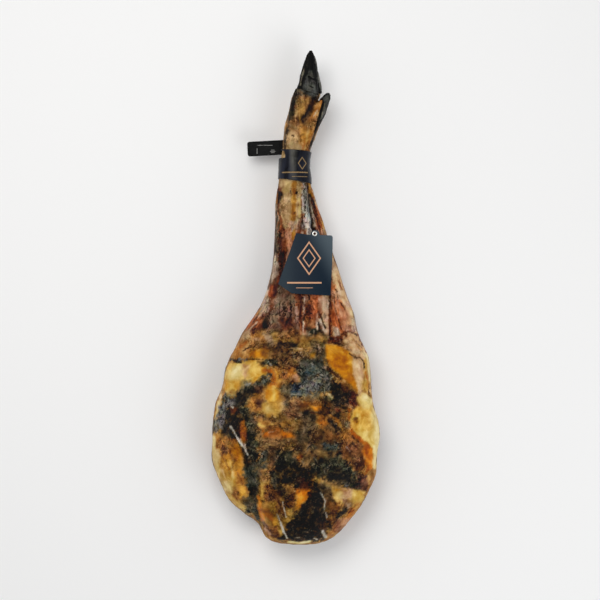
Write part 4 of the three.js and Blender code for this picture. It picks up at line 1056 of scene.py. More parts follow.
# lower right mould
area("green", 2.6, 4, 314,457, 322,452, 328,458, 340,456, 347,460, 352,470, 366,476, 366,489,
     357,491, 347,488, 338,483, 327,479, 316,477, 311,469)
area("black", 3, 4, 326,470, 338,468, 350,474, 356,486, 346,487, 336,481, 322,478, cover=0.8)
area("black", 3, 4, 318,458, 326,460, 326,468, 318,466, cover=0.7)
area("maroon", 2.5, 3.5, 357,474, 366,476, 366,489, 356,488)
area("blue", 2.6, 3.5, 322,444, 339,443, 341,450, 325,451)
area("tan", 2.6, 3.4, 317,451, 327,451, 327,458, 318,458, cover=0.8)
area("black", 1.8, 2.4, 329,450, 333,450, 333,457, 330,457)
area("lilac", 2, 2.4, 344,482, 350,483, 351,489, 345,487, cover=0.8)
line("scratch", 1, 0.6, 0.9, 313.4,456.6, 318,462.4, cover=0.7)
line("scratch", 1, 0.6, 0.9, 346.4,446.4, 349.6,451.4, cover=0.6)
line("scratch", 1, 0.6, 1.4, 324,470, 328,476, cover=0.5)
# lower middle dark
area("black", 2.8, 4, 276,452, 290,450, 300,464, 310,470, 313,480, 322,486, 326,494, 312,494,
     308,488, 296,488, 286,486, 284,496, 277,494, 274,476, 276,464)
area("green", 4, 4, 276,453, 292,451, 298,462, 288,466, 278,464, cover=0.6)
area("grey", 2.2, 3, 269,470, 276,470, 278,482, 278,491, 273,489, 270,480)
line("fleck and glint", 1, 0.7, 1.6, 272,478, 274.6,487, cover=0.5)
# lower left lobe
area("olive", 2, 3, 260,486, 268,484, 277,498, 284,503, 297,511, 298,522, 290,525, 284,536, 272,538,
     263,530, 260,518, 257,503)
area("crust", 2.2, 3, 261,471, 268,471, 269,479, 262,479)
line("yellow", 4, 2.2, 2.4, 262.6,484, 262.6,497)
area("crust", 2.6, 3.6, 265,484, 273,485, 275,500, 266,501)
area("plum", 2.6, 3.4, 268,491, 277,492, 279,502, 269,502)
line("orange", 4.4, 2.4, 2.2, 258.6,498, 259.6,508, 263,519)
area("gold", 3, 3, 270,517, 277,518, 278,527, 272,526, cover=0.75)
area("rust", 3.4, 3.4, 262,508, 270,510, 272,520, 265,518, cover=0.6)
area("crust", 2.4, 3.2, 264,525, 277,526, 280,534, 278,538, 268,536)
line("pink", 2.6, 1.4, 1.8, 265.6,529, 269.6,534)
area("yellow", 1.4, 1.8, 278.6,530.4, 284.6,531, 284,535.6, 279.6,535.6)
area("crust", 2.8, 4, 276,502, 284,504, 286,516, 280,520, 277,512, cover=0.85)
area("yellow", 4, 4, 286,511, 296,511, 297,521, 288,523, cover=0.45)
area("crust", 2.4, 3.4, 288,488, 296,487, 296,500, 292,509, 285,506)
area("umber", 3, 3.4, 281,496, 291,497, 290,509, 282,508, cover=0.8)
line("yellow", 1.6, 1.2, 2, 288,486, 291,496, cover=0.6)
area("orange", 1.8, 2, 296,489, 305,488, 311,490, 311,496, 304,502, 299,511, 295,510, 297,498)
area("gold", 3, 2.2, 297,497, 304,497, 300,509, 296,508, cover=0.8)
# black of the bottom
area("black", 2.2, 3, 311,491, 321,490, 326,502, 328,516, 327,528, 327,538, 312,542, 285,541,
     279,539, 286,528, 296,516, 300,509, 304,502)
area("plum", 3, 3.4, 317,520, 326,521, 326,530, 318,529, cover=0.8)
# lower right fat
area("smoke", 3.4, 4, 322,484, 334,486, 337,506, 336,520, 328,522, 326,504)
area("yellow", 1.8, 2.4, 330,486, 342,488, 353,490, 365,492, 364,499, 360,505, 354,503, 345,503,
     337,504, 333,498)
line("yellow", 2.6, 1.2, 2, 315.6,478, 321,481, 328,485.6, 336,488, cover=0.85)
area("gold", 2, 2.4, 331,486, 341,488, 342,491, 333,491)
area("smoke", 2.4, 3, 316,482, 326,486, 332,493, 326,496, 319,489)
area("pink", 3, 3, 341,488, 353,489, 352,498, 345,501, 341,496, cover=0.85)
area("bright", 2.6, 2, 353,490, 364,492, 361,501, 354,502)
area("light", 3.6, 3, 334,491, 341,491, 343,499, 336,499, cover=0.5)
area("crust", 2.6, 3.6, 328,502, 337,502, 337,512, 330,517)
line("ochre", 4.4, 2.2, 2.6, 340,504, 337,511, 331,518, 328,523)
area("black", 1.8, 2.4, 351,503, 352,506, 343,516, 337,522, 335,518, 342,508)
area("plum", 2, 2.6, 343,500, 352,499, 352,504, 346,507, cover=0.8)
area("beige", 1.3, 1.6, 346.6,503, 351,503, 350,508, 347,508)
area("black", 2.2, 3, 326,521, 334,520, 334,529, 327,531)
area("ochre", 2, 2.6, 353,505, 360,503, 350,517, 340,528, 332,536, 326,540, 329,532, 340,521)
area("rust", 2.4, 2.6, 354,505, 360,503, 350,517, 340,527, 337,527, 346,516, cover=0.8)
line("russet", 1.3, 0.9, 1.6, 355,505, 346,516, 337,526, cover=0.8)
line("crust", 3, 2, 2.6, 335,528, 329,536, cover=0.7)
# small patches where a comparison with the photo showed the tone to be off
area("pink", 2.5, 3, 338,519, 350,517, 352,524, 344,531, 336,532, cover=0.8)
line("light", 4.4, 2, 2, 375,410, 376.6,430, 377,450, 376,468, cover=0.8)
area("beige", 3, 3, 238,332, 250,330, 252,338, 240,341, cover=0.8)
area("umber", 4, 4, 256,342, 294,341, 294,360, 278,361, 262,357, cover=0.5)
area("cream", 2.6, 2.6, 212,449, 219,450, 219,461, 213,463, cover=0.8)
area("black", 2.6, 3, 281,489, 291,490, 290,500, 282,500, cover=0.6)
area("ochre", 3, 4, 340,430, 350,430, 351,440, 341,440, cover=0.6)
area("yellow", 3, 3.4, 219,468, 231,470, 233,490, 222,491, cover=0.7)
area("black", 2.6, 3.4, 270,470, 280,469, 281,490, 271,490, cover=0.6)
area("umber", 2.6, 3.4, 270,490, 280,490, 280,500, 271,500, cover=0.7)
area("black", 2.4, 3, 309,470, 319,471, 320,479, 310,479, cover=0.6)
area("plum", 2.4, 3, 360,480, 370,478, 369,488, 361,490, cover=0.7)
area("amber", 3, 3, 270,400, 280,400, 280,410, 271,410, cover=0.4)
area("light", 3, 3, 220,370, 230,369, 231,380, 221,381, cover=0.6)
area("amber", 3, 3, 350,420, 360,420, 360,430, 352,430, cover=0.45)
area("umber", 3, 3.4, 330,510, 340,509, 339,520, 330,520, cover=0.6)
area("ochre", 3, 4, 340,410, 350,409, 351,420, 341,420, cover=0.5)
area("bright", 3, 3, 360,380, 369,379, 370,390, 361,390, cover=0.5)
area("yellow", 2.6, 3, 350,500, 359,499, 359,509, 352,509, cover=0.5)
area("yellow", 4, 5, 213,465, 222,460, 228,484, 219,492, cover=0.45)
line("cream", 2, 1.6, 2.6, 222,470, 226,480, 225,492, cover=0.7)
line("light", 1.8, 1.4, 2.6, 230,462, 233,474, 232,484, cover=0.6)
area("black", 4, 4, 296,506, 322,500, 325,530, 300,535, 288,528, cover=0.6)
area("amber", 4, 4, 330,350, 342,352, 352,372, 344,382, 332,362, cover=0.35)
area("light", 4, 4, 360,400, 374,398, 378,420, 377,448, 368,440, 362,420, cover=0.35)
area("grey", 3, 3, 310,390, 320,389, 320,401, 310,402, cover=0.6)
area("lean maroon", 2.6, 3, 280,318, 290,319, 290,331, 281,331, cover=0.7)
area("crust", 3, 3, 289,329, 300,330, 300,341, 290,340, cover=0.7)
area("drab", 3, 3, 319,480, 331,481, 332,490, 320,490, cover=0.6)
area("smoke", 3, 3, 329,480, 341,482, 340,489, 331,489, cover=0.5)
area("umber", 3, 3.4, 319,408, 331,409, 330,420, 320,421, cover=0.6)
area("crust", 3, 3.4, 309,399, 321,400, 320,408, 310,409, cover=0.4)
area("light", 2.6, 2.6, 210,448, 219,449, 220,462, 213,462, cover=0.7)
line("light", 5, 2, 2, 376,446, 376,456, 374.6,466)
area("gold", 3.4, 3, 359,408, 371,409, 371,431, 361,431, cover=0.6)
area("black", 3, 3, 219,430, 231,429, 232,438, 220,438, cover=0.6)
area("lilac", 2.6, 3, 210,419, 219,419, 219,431, 211,431, cover=0.7)
area("maroon", 3, 3, 299,479, 311,480, 310,490, 300,490, cover=0.6)
area("olive", 3, 3, 269,400, 281,400, 281,411, 270,411, cover=0.35)
area("olive", 3, 3, 229,459, 241,460, 241,471, 230,471, cover=0.45)
area("grey", 3, 3, 239,380, 251,380, 250,391, 240,391, cover=0.5)
area("tan", 3, 3, 289,419, 301,420, 300,431, 290,431, cover=0.6)
area("plum", 3, 3, 269,430, 281,431, 281,440, 270,440, cover=0.5)
area("tan", 3, 3, 249,339, 260,340, 261,351, 250,351, cover=0.5)
area("ash", 3, 3.4, 260,469, 270,470, 271,481, 261,481, cover=0.6)
area("crust", 3, 3.4, 279,329, 291,330, 291,341, 280,341, cover=0.5)
area("ash", 3, 3.4, 280,380, 291,380, 291,400, 281,400, cover=0.5)
area("gold", 3, 3.4, 250,359, 261,360, 261,380, 251,380, cover=0.4)
area("ochre", 3, 3.4, 299,401, 310,400, 311,410, 300,411, cover=0.4)
area("crust", 3, 3.4, 310,430, 321,431, 321,440, 311,441, cover=0.5)
area("black", 4, 5, 299,451, 331,450, 332,461, 301,462, cover=0.35)
area("black", 4, 5, 321,440, 341,439, 342,450, 322,450, cover=0.35)
area("grey", 3, 4, 300,391, 311,390, 311,401, 301,401, cover=0.5)
area("tan", 3, 4, 340,419, 351,420, 351,431, 341,431, cover=0.45)
area("crust", 3, 4, 259,499, 271,500, 271,511, 262,511, cover=0.35)
area("beige", 2.4, 3, 350,350, 361,351, 361,361, 352,361, cover=0.5)
area("light", 2.6, 3, 220,481, 231,481, 231,493, 226,493, cover=0.6)
area("grey", 4, 5, 260,449, 281,450, 281,461, 261,461, cover=0.4)
area("umber", 3, 4, 340,450, 351,451, 351,461, 341,461, cover=0.4)
area("russet", 3, 3.4, 330,519, 341,520, 340,531, 331,531, cover=0.5)
area("drab", 3, 4, 299,359, 311,360, 310,371, 300,371, cover=0.5)
area("black", 3, 4, 319,469, 331,470, 331,481, 320,480, cover=0.4)
area("crust", 2.6, 3, 340,340, 351,341, 350,350, 341,350, cover=0.4)
area("lilac", 2.6, 3, 209,418, 220,418, 220,431, 210,431, cover=0.5)
# glints and pale creases
line("rim", 2.4, 1.2, 1, 288,542.6, 298,543, 310,542)
line("scratch", 1.5, 0.8, 1, 277.4,514, 280.4,522)
line("scratch", 2.2, 1, 1, 280.4,522, 283.4,531, 286.6,538)
line("scratch", 1.1, 0.7, 1, 282.6,501.6, 284.8,512.6, 286.2,517, cover=0.8)
line("scratch", 1.3, 0.8, 1, 320.4,492.6, 325.6,501.4, 324.2,508.4, 327,518, cover=0.85)
# a grey-white painted glint, in the scratch finish
line("scratch", 3.2, 1.3, 1.4, 322.8,531.4, 325.6,536.6)
line("fleck and glint", 1.5, 0.8, 1, 286.6,536.4, 287.4,538.6, cover=0.8)
line("fleck and glint", 1.1, 0.7, 1.4, 294,538, 300,537.4, cover=0.6)
line("fleck and glint", 1.8, 0.9, 1.2, 314.4,538.6, 317,539)
line("fleck and glint", 1.1, 0.7, 1.6, 305,531, 309,532.6, cover=0.4)
HAM_STROKES = all_strokes()


# %% Ham material
GLOSS_LIGHT = 0.008
LEAST_LIGHT = 0.001
SCREEN_GAMMA = 2.2
FLAKE_SIZE = 4.0
FLAKE_BEND, FLAKE_BEND_SCALE = 0.008, 260
HUE_SCALE = 110
HUE_SWING, HUE_LEAST = (0.5, 0.3, 0.5), (0.75, 0.85, 0.75)
CRACK_COLOUR = (0.06, 0.035, 0.02, 1)
# Pale hairlines: partly whitish scratches, partly painted glints
SCRATCH_AND_GLINT_COLOUR = (0.72, 0.66, 0.56, 1)
CRACK_DEPTH = 0.15
SURFACE_OUTPUTS = {
    "Colour": "NodeSocketColor", "Roughness": "NodeSocketFloat", "Height": "NodeSocketFloat",
}
# Noises with even features: cell in millimetres, detail, roughness, distortion
EVEN_NOISES = {
    "broad": (16, 3, 0.5, 0.5), "blots": (11, 5, 0.7, 1.6), "grit": (4.0, 2, 0.6, 1.2),
    "gritty": (21, 2, 0.6, 0.5), "calm": (30, 2, 0.5, 0.8),
    "veins": (13, 3, 0.6, 1.6), "hairlines": (6.5, 2, 0.6, 1.6),
}
# Noises drawn out along the fibres, in the same order
DRAWN_NOISES = {
    "strands": (5.0, 4, 0.7, 0.5), "threads": (2.6, 1, 0.5, 0.3),
    "veins": (7, 2, 0.6, 0.6), "hairlines": (4.2, 2, 0.6, 0.6),
}


class SurfaceParts:
    """The stored layers and the noises that the painted surface is built from."""

    def __init__(self, tree):
        self.tree = tree
        self.place = object_place(tree)
        self.flow = layer(tree, "flow").outputs["Vector"]
        self.grain = layer(tree, "grain").outputs["Fac"]
        self.shine = layer(tree, "shine").outputs["Fac"]
        self.even = {name: noise_of(tree, self.place, *form) for name, form in EVEN_NOISES.items()}
        self.drawn = {name: noise_of(tree, self.flow, *form) for name, form in DRAWN_NOISES.items()}
        calm = between(tree, self.even["calm"], 0.4, 0.6, 0.5, 1.15)
        stored = layer(tree, "speckle").outputs["Fac"]
        self.speckle = maths(tree, "MULTIPLY", stored, calm, True)
        self.lively = between(tree, self.speckle, 0.3, 0.7)

    def along_grain(self, name):
        """A noise that is even where there is no grain and drawn out where there is."""
        return mixed(self.tree, self.grain, self.even[name], self.drawn[name])

    def coloured_noise(self, scale):
        inputs = {"Vector": self.place, "Scale": scale, "Detail": 2}
        return add_node(self.tree, "ShaderNodeTexNoise", inputs).outputs["Color"]


def ridge(tree, value, level, width):
    """One where a value passes a level, down to zero at that width beside it."""
    return between(tree, away_from(tree, value, level), 0.0, width, 1.0, 0.0)


def flakes(tree, parts):
    """Small cells of one tone each, bent and drawn out with the fibres."""
    swing = (FLAKE_BEND, FLAKE_BEND, FLAKE_BEND)
    bent = vector_maths(tree, "MULTIPLY_ADD", parts.coloured_noise(FLAKE_BEND_SCALE), swing, parts.flow)
    inputs = {"Vector": bent, "Scale": 1000 / FLAKE_SIZE}
    cells = add_node(tree, "ShaderNodeTexVoronoi", inputs).outputs["Color"]
    return between(tree, cells, 0.15, 0.85, 0.39, 0.62)


def roughened(tree, parts):
    """The uneven tone of a finish: blots or strands, finer where it is gritty, half of it in flakes."""
    coarse = mixed(tree, parts.grain, parts.even["blots"], parts.drawn["strands"])
    fine = mixed(tree, product(tree, parts.grain, 0.6), parts.even["grit"], parts.drawn["threads"])
    gritty = between(tree, parts.even["gritty"], 0.4, 0.6, 0.05, 0.45)
    return mixed(tree, 0.5, mixed(tree, gritty, coarse, fine), flakes(tree, parts))


def finish_colour(tree, parts, rough):
    """Between a finish's dark and light tone, smoothly or roughly by its speckle, with hues that wander."""
    smooth_tone = stretched_to(tree, parts.even["broad"], 0.36, 0.64)
    rough_tone = stretched_to(tree, rough, 0.42, 0.59, -0.12, 1.15)
    tone = mixed(tree, parts.speckle, smooth_tone, rough_tone)
    dark = layer(tree, "paint_dark").outputs["Color"]
    colour = blended(tree, tone, dark, layer(tree, "paint_light").outputs["Color"])
    hues = vector_maths(tree, "MULTIPLY_ADD", parts.coloured_noise(HUE_SCALE), HUE_SWING, HUE_LEAST)
    varied = blended(tree, 1.0, colour, hues, "MULTIPLY")
    return blended(tree, product(tree, parts.speckle, 0.8), colour, varied)


def dark_cracks(tree, parts, hairlines):
    """Wide cracks where the broad noise is high, and fine splits where it is low."""
    broad = parts.even["broad"]
    veins = ridge(tree, parts.along_grain("veins"), 0.47, 0.022)
    wide = product(tree, veins, between(tree, broad, 0.42, 0.55))
    fine = product(tree, ridge(tree, hairlines, 0.45, 0.03), between(tree, broad, 0.52, 0.42))
    return product(tree, largest(tree, wide, fine), parts.lively)


# Thin pale hairlines where the surface is lively: partly scratches, partly painted glints
def pale_scratches_and_glints(tree, parts, hairlines):
    low_broad = between(tree, parts.even["broad"], 0.56, 0.46)
    found = product(tree, ridge(tree, hairlines, 0.57, 0.02), low_broad)
    return product(tree, found, product(tree, parts.lively, between(tree, parts.even["grit"], 0.45, 0.6)))


def for_shader(tree, colour):
    """A screen colour as the shader takes it, less the light that the gloss adds to it."""
    colour = add_node(tree, "ShaderNodeGamma", {"Color": colour, "Gamma": SCREEN_GAMMA}).outputs[0]
    colour = vector_maths(tree, "ADD", colour, (-GLOSS_LIGHT, -GLOSS_LIGHT, -GLOSS_LIGHT))
    return vector_maths(tree, "MAXIMUM", colour, (LEAST_LIGHT, LEAST_LIGHT, LEAST_LIGHT))


def surface_roughness(tree, parts, rough):
    gloss = maths(tree, "SUBTRACT", 0.8, product(tree, parts.shine, 0.55))
    return maths(tree, "ADD", gloss, between(tree, rough, 0.35, 0.65, 0.12, -0.12), True)


def surface_height(tree, parts, rough, cracks):
    height = product(tree, rough, maths(tree, "ADD", product(tree, parts.speckle, 0.9), 0.12))
    return maths(tree, "SUBTRACT", height, product(tree, cracks, CRACK_DEPTH))


def painted_surface():
    """A node group: the stored finishes with their grain, as a colour, a roughness and a height."""
    tree = bpy.data.node_groups.new("painted surface", "ShaderNodeTree")
    for name, kind in SURFACE_OUTPUTS.items():
        tree.interface.new_socket(name, in_out="OUTPUT", socket_type=kind)
    parts = SurfaceParts(tree)
    rough = roughened(tree, parts)
    hairlines = parts.along_grain("hairlines")
    cracks = dark_cracks(tree, parts, hairlines)
    scratches_and_glints = pale_scratches_and_glints(tree, parts, hairlines)
    colour = finish_colour(tree, parts, rough)
    colour = blended(tree, product(tree, cracks, 0.8), colour, CRACK_COLOUR)
    # the pale hairlines, partly painted glints
    colour = blended(tree, product(tree, scratches_and_glints, 0.6), colour, SCRATCH_AND_GLINT_COLOUR)
    add_node(tree, "NodeGroupOutput", {
        "Colour": for_shader(tree, colour),
        "Roughness": surface_roughness(tree, parts, rough),
        "Height": surface_height(tree, parts, rough, cracks),
    })
    return tree


PAINTED_SURFACE = painted_surface()


def painted_material(name, bump_height, specular):
    material, tree, shader = new_material(name, Specular_IOR_Level=specular)
    surface = add_node(tree, "ShaderNodeGroup")
    surface.node_tree = PAINTED_SURFACE
    tree.links.new(surface.outputs["Colour"], shader.inputs["Base Color"])
    tree.links.new(surface.outputs["Roughness"], shader.inputs["Roughness"])
    add_bump(tree, shader, surface.outputs["Height"], bump_height)
    return material


# %% The ham
HAM_CELL = 2.0
BAND_FROM, BAND_TO, BAND_EDGE = 190.0, 257.0, 6.0
BAND_PRESS = 0.4
RELIEF_CAP_TO, RELIEF_LEG_FROM = -60, 20
# Noise layers as weight in mm, cell, seed and, for the ridges of the leg, how far they are drawn out
CAP_DENTS = ((1.1, 46, 51), (0.6, 17, 52), (0.28, 7, 53))
LEG_RIDGES = ((0.6, 7, 54, 0.14), (0.3, 3.6, 55, 0.2), (0.5, 22, 56))


def ham_relief(points, raised):
    """Dents on the cap, ridges along the leg, and a waist that the band presses in."""
    y = points[:, 1]
    on_leg = smooth_ramp(RELIEF_CAP_TO, RELIEF_LEG_FROM, y)
    dents = layered_noise(points, *CAP_DENTS)
    ridges = layered_noise(points, *LEG_RIDGES)
    relief = (1 - on_leg) * dents + on_leg * ridges + raised
    under_band = smooth_ramp(BAND_FROM - BAND_EDGE, BAND_FROM, y)
    under_band *= smooth_ramp(BAND_TO + BAND_EDGE, BAND_TO, y)
    return relief * (1 - under_band) - BAND_PRESS * under_band


# Finishes of the side that the photo doesn't show: name, patch size, seed, and how far it gives way
UNSEEN_CAP = (
    ("ochre", 60, 71, 0.0), ("yellow", 44, 72, 0.25), ("crust", 52, 73, 0.1),
    ("drab", 40, 74, 0.3), ("black", 58, 75, 0.25), ("pink", 30, 76, 0.5),
    ("rust", 34, 77, 0.45),
)
UNSEEN_LEG = (
    ("lean rust", 40, 81, 0.0), ("lean grey", 34, 82, 0.2), ("lean maroon", 30, 83, 0.3),
    ("streak", 26, 84, 0.4), ("lean brown", 44, 85, 0.3), ("hair", 22, 86, 0.5),
)
UNSEEN_SKIN = (("skin orange", 26, 91, 0.0), ("skin amber", 20, 92, 0.3), ("skin dark", 18, 93, 0.45))
LEG_FROM, LEG_EDGE = -70.0, 6
SKIN_FROM, SKIN_EDGE = 130.0, 8
ZONE_WANDER = (22, 40, 70)
PATCH_LOW, PATCH_HIGH, PATCH_TEAR = -0.1, 0.12, 0.3


def weather(coat):
    """The turned-away side, which the photo doesn't show, has the same finishes in patches of its own."""
    along = coat.points[:, 1] + layered_noise(coat.points, ZONE_WANDER)
    leg = smooth_ramp(LEG_FROM - LEG_EDGE, LEG_FROM + LEG_EDGE, along)
    skin = smooth_ramp(SKIN_FROM - SKIN_EDGE, SKIN_FROM + SKIN_EDGE, along)
    zones = (
        (UNSEEN_CAP, None, 1.0, 1 - leg),
        (UNSEEN_LEG, "lean dark", 0.3, leg),
        (UNSEEN_SKIN, "skin", 0.6, skin),
    )
    for finishes, base, length, inside in zones:
        if base:
            coat.lay(base, inside)
        for finish, cell, seed, level in finishes:
            depth = layered_noise(coat.points, (1, cell, seed, length)) + PATCH_TEAR * coat.torn - level
            coat.lay(finish, inside * smooth_ramp(PATCH_LOW, PATCH_HIGH, depth))


ham_mesh = remeshed("ham", HAM_CELL)
coat = Coat(ham_mesh, "tan")
weather(coat)
coat.paint(HAM_STROKES)
coat.keep(ham_relief(coat.points, coat.raised()))
new_piece("cured_leg", ham_mesh, painted_material("cured fat and lean", 3.0, 0.14), "ham")
print("cured leg done")


# %% [markdown]
# ## Claws and dewclaws
# Hoof horn grows down in thin rings from the skin and splits along its length. The real claws are black,
# grey in the middle of the side that shows, with two cracks across the middle of the near one. Each is the
# CAD solid with even faces, rings and long grooves pressed in, and the same painted surface as the leg.

# %% Where the finishes lie on the horn, in pixels of the photo
# grey middle
area("horn grey", 2.2, 1, 306,76, 309,71, 312,70, 315,80, 317,92, 317,99, 310,97, 303,94, 303,86)
area("horn pale", 2.2, 1, 307,84, 314,85, 316,94, 306,94, cover=0.4)
area("horn pale", 1.4, 1.4, 303,89, 312,92, 316,97, 305,94, cover=0.5)
line("horn crack", 1, 0.6, 0.8, 308.6,76.6, 312,79, 317,80)
line("horn crack", 0.8, 0.6, 0.8, 308,85.4, 313,87.6, cover=0.8)
# edges
line("horn edge", 1.3, 0.7, 0.8, 304,69, 302,77, 300.6,85)
line("horn edge", 1.0, 0.7, 0.8, 301,80, 299,87, cover=0.6)
line("horn crack", 1.8, 0.7, 0.8, 314.2,62, 315.6,74, 317.6,87)
line("horn pale", 2.6, 0.8, 0.8, 316,62, 318.6,74, 321,88, cover=0.7)
line("horn grey", 2.4, 0.8, 0.8, 317.4,78, 320.6,92)
line("horn crack", 1.4, 0.8, 1.2, 299.4,87, 302,91, 304,93)
NEAR_CLAW_STROKES = all_strokes()
# side strip
line("horn pale", 3.4, 1, 1, 316,56, 319,74, 321.6,90)
line("horn crack", 1, 0.6, 0.8, 319.6,62, 321.6,80, 322.8,92)
FAR_CLAW_STROKES = all_strokes()
# horn
area("horn grey", 1.2, 1.2, 323,98, 330,92, 333,99, 328,113, 323,122, 318,121,
     322,111)
area("horn pale", 1.6, 1.2, 325,99, 329,96, 330,103, 325,115, 322,117, cover=0.5)
line("horn edge", 1.4, 0.8, 1, 324.4,104, 322.6,113, 320,119)
line("horn crack", 1.1, 0.7, 0.8, 323.4,102, 322,111, 319.6,119)
# dried skin below it
area("skin dark", 1.5, 1.6, 319,120, 324,121, 318,137, 312,152, 308,152, 312,138)
line("hair", 1.4, 0.8, 1.2, 320,123, 315,137, cover=0.7)
DEWCLAW_STROKES = all_strokes()


# %% Build the horn
HORN_CELL = 0.8
HORN_BUMP = 1.4
RING_SPACING, RING_HEIGHT = 3.6, 0.1
RING_WANDER = (1.6, 12, 61)
HORN_GROOVES = ((0.22, 3.2, 62, 0.12), (0.3, 9, 63))
HORN_SHRINK = 0.1


def horn_relief(points, raised):
    wander = layered_noise(points, RING_WANDER)
    rings = RING_HEIGHT * np.sin(2 * np.pi * (points[:, 1] + wander) / RING_SPACING)
    return rings + layered_noise(points, *HORN_GROOVES) + raised - HORN_SHRINK


def horn_piece(name, node, strokes):
    mesh = remeshed(node, HORN_CELL)
    horn_coat = Coat(mesh, "horn black")
    horn_coat.paint(strokes)
    horn_coat.keep(horn_relief(horn_coat.points, horn_coat.raised()))
    return new_piece(name, mesh, HORN_MATERIAL, node)


HORN_MATERIAL = painted_material("hoof horn", HORN_BUMP, 0.1)
horn_piece("hoof_claw_near", "claw_near", NEAR_CLAW_STROKES)
horn_piece("hoof_claw_far", "claw_far", FAR_CLAW_STROKES)
horn_piece("dewclaw_horn_near", "dewclaw_near", DEWCLAW_STROKES)
horn_piece("dewclaw_horn_far", "dewclaw_far", DEWCLAW_STROKES)


# %% [markdown]
# ## Ankle band
# The real band is thin printed film wound a little more than once round the ankle, pulled in on the right,
# with its lower corner showing on the left. Here it is one strip laid over the CAD sleeve's surface, found
# by casting rays at it, with its end on top and its start under that.

# %% Wind the film
BAND_MIDDLE_X = -0.5
BAND_MIDDLE_Z = 53.0
RAY_START = 80.0
BAND_COLUMNS = 170
BAND_ROWS = 44
FILM_END_ANGLE = 2.56
FILM_TURN = 2 * math.pi + 0.95
FILM_STEP = 0.45
FILM_THICKNESS = 0.22
FILM_SINK = 0.12
FILM_MARGIN = 0.3
BAND_LOW_LEFT, BAND_LOW_RIGHT = 203.0, 194.0
BAND_HIGH_LEFT, BAND_HIGH_RIGHT = 253.0, 249.5
FILM_START_HIGH = 237.5
# Heights between which the sleeve is whole all round, and nearly to its edges on the side of the film's end
WHOLE_FROM, WHOLE_TO = 204.0, 236.0
NEARLY_TO = 249
NEARLY_TURN = math.pi * 1.4
FALL_FROM, FALL_TO = math.pi * 1.2, math.pi * 1.72
UNDER_FROM, UNDER_TO = math.pi * 1.5, math.pi * 2
COLUMN_ROUNDS = 5
FLAT_RADIUS = 27
FOLDS_ROUND, FOLD_SQUEEZE_ROUND = (0.16, 7, 71), (1, 0.3, 1)
FOLDS_ALONG, FOLD_SQUEEZE_ALONG = (0.12, 5, 72), (0.35, 1, 1)


def sleeve_radius(tree, angle, height):
    """How far the CAD sleeve's outer surface is from its middle line, in millimetres."""
    direction = Vector((math.cos(angle), 0, math.sin(angle)))
    start = Vector((BAND_MIDDLE_X, height, BAND_MIDDLE_Z)) * MM + direction * RAY_START * MM
    hit = tree.ray_cast(start, -direction)[0]
    return RAY_START - (hit - start).length / MM


def film_span(angle, turned):
    """The film's lower and upper edge at an angle. Its start is lower, and lies under its end."""
    rightness = (1 + math.cos(angle)) / 2
    low = BAND_LOW_LEFT + (BAND_LOW_RIGHT - BAND_LOW_LEFT) * rightness + FILM_MARGIN
    high = BAND_HIGH_LEFT + (BAND_HIGH_RIGHT - BAND_HIGH_LEFT) * rightness - FILM_MARGIN
    return low, high + (FILM_START_HIGH - high) * smooth_ramp(FALL_FROM, FALL_TO, turned)


def film_radius(tree, angle, height, turned):
    if turned < NEARLY_TURN and WHOLE_FROM < height < NEARLY_TO:
        radius = sleeve_radius(tree, angle, height)
    else:
        radius = sleeve_radius(tree, angle, min(max(height, WHOLE_FROM), WHOLE_TO))
    return radius - FILM_SINK - FILM_STEP * smooth_ramp(UNDER_FROM, UNDER_TO, turned)


def film_grid():
    """For every column and row of the film: its angle, its height and its distance from the middle line."""
    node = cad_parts["ankle_band"].data
    corners = [vertex.co for vertex in node.vertices]
    tree = BVHTree.FromPolygons(corners, [tuple(face.vertices) for face in node.polygons])
    places = np.zeros((BAND_COLUMNS, BAND_ROWS, 3))
    for column in range(BAND_COLUMNS):
        turned = FILM_TURN * column / (BAND_COLUMNS - 1)
        angle = FILM_END_ANGLE - turned
        low, high = film_span(angle, turned)
        for row in range(BAND_ROWS):
            height = low + (high - low) * row / (BAND_ROWS - 1)
            places[column, row] = (angle, height, film_radius(tree, angle, height, turned))
    return places


def evened_columns(radii):
    for _ in range(COLUMN_ROUNDS):
        middle = radii[1:-1] * 0.5 + radii[:-2] * 0.25 + radii[2:] * 0.25
        radii = np.concatenate([radii[:1], middle, radii[-1:]])
    return radii


def film_mesh():
    grid = film_grid()
    angle, height = grid[:, :, 0], grid[:, :, 1]
    flat = np.stack([angle * FLAT_RADIUS, height, 0 * angle], axis=2).reshape(-1, 3)
    folds = layered_noise(flat * FOLD_SQUEEZE_ROUND, FOLDS_ROUND)
    folds += layered_noise(flat * FOLD_SQUEEZE_ALONG, FOLDS_ALONG)
    radius = evened_columns(grid[:, :, 2]) + folds.reshape(angle.shape) - FILM_SINK
    across = BAND_MIDDLE_X + radius * np.cos(angle)
    places = np.stack([across, height, BAND_MIDDLE_Z + radius * np.sin(angle)], 2)
    faces = []
    for column in range(BAND_COLUMNS - 1):
        for row in range(BAND_ROWS - 1):
            first = column * BAND_ROWS + row
            faces.append((first, first + 1, first + BAND_ROWS + 1, first + BAND_ROWS))
    mesh = bpy.data.meshes.new("film")
    mesh.from_pydata((places.reshape(-1, 3) * MM).tolist(), [], faces)
    return mesh


def thickened(mesh, thickness):
    """The sheet as a closed solid of that thickness in millimetres."""
    sheet = working_copy(mesh)
    modifier = sheet.modifiers.new("thickness", "SOLIDIFY")
    modifier.thickness = thickness * MM
    modifier.offset = 0
    return evaluated_mesh(sheet)


# %% Print shapes
PRINT_EDGE = 0.12
LOZENGE_EDGE = 0.15
LOZENGE_FLATTENING = 0.8


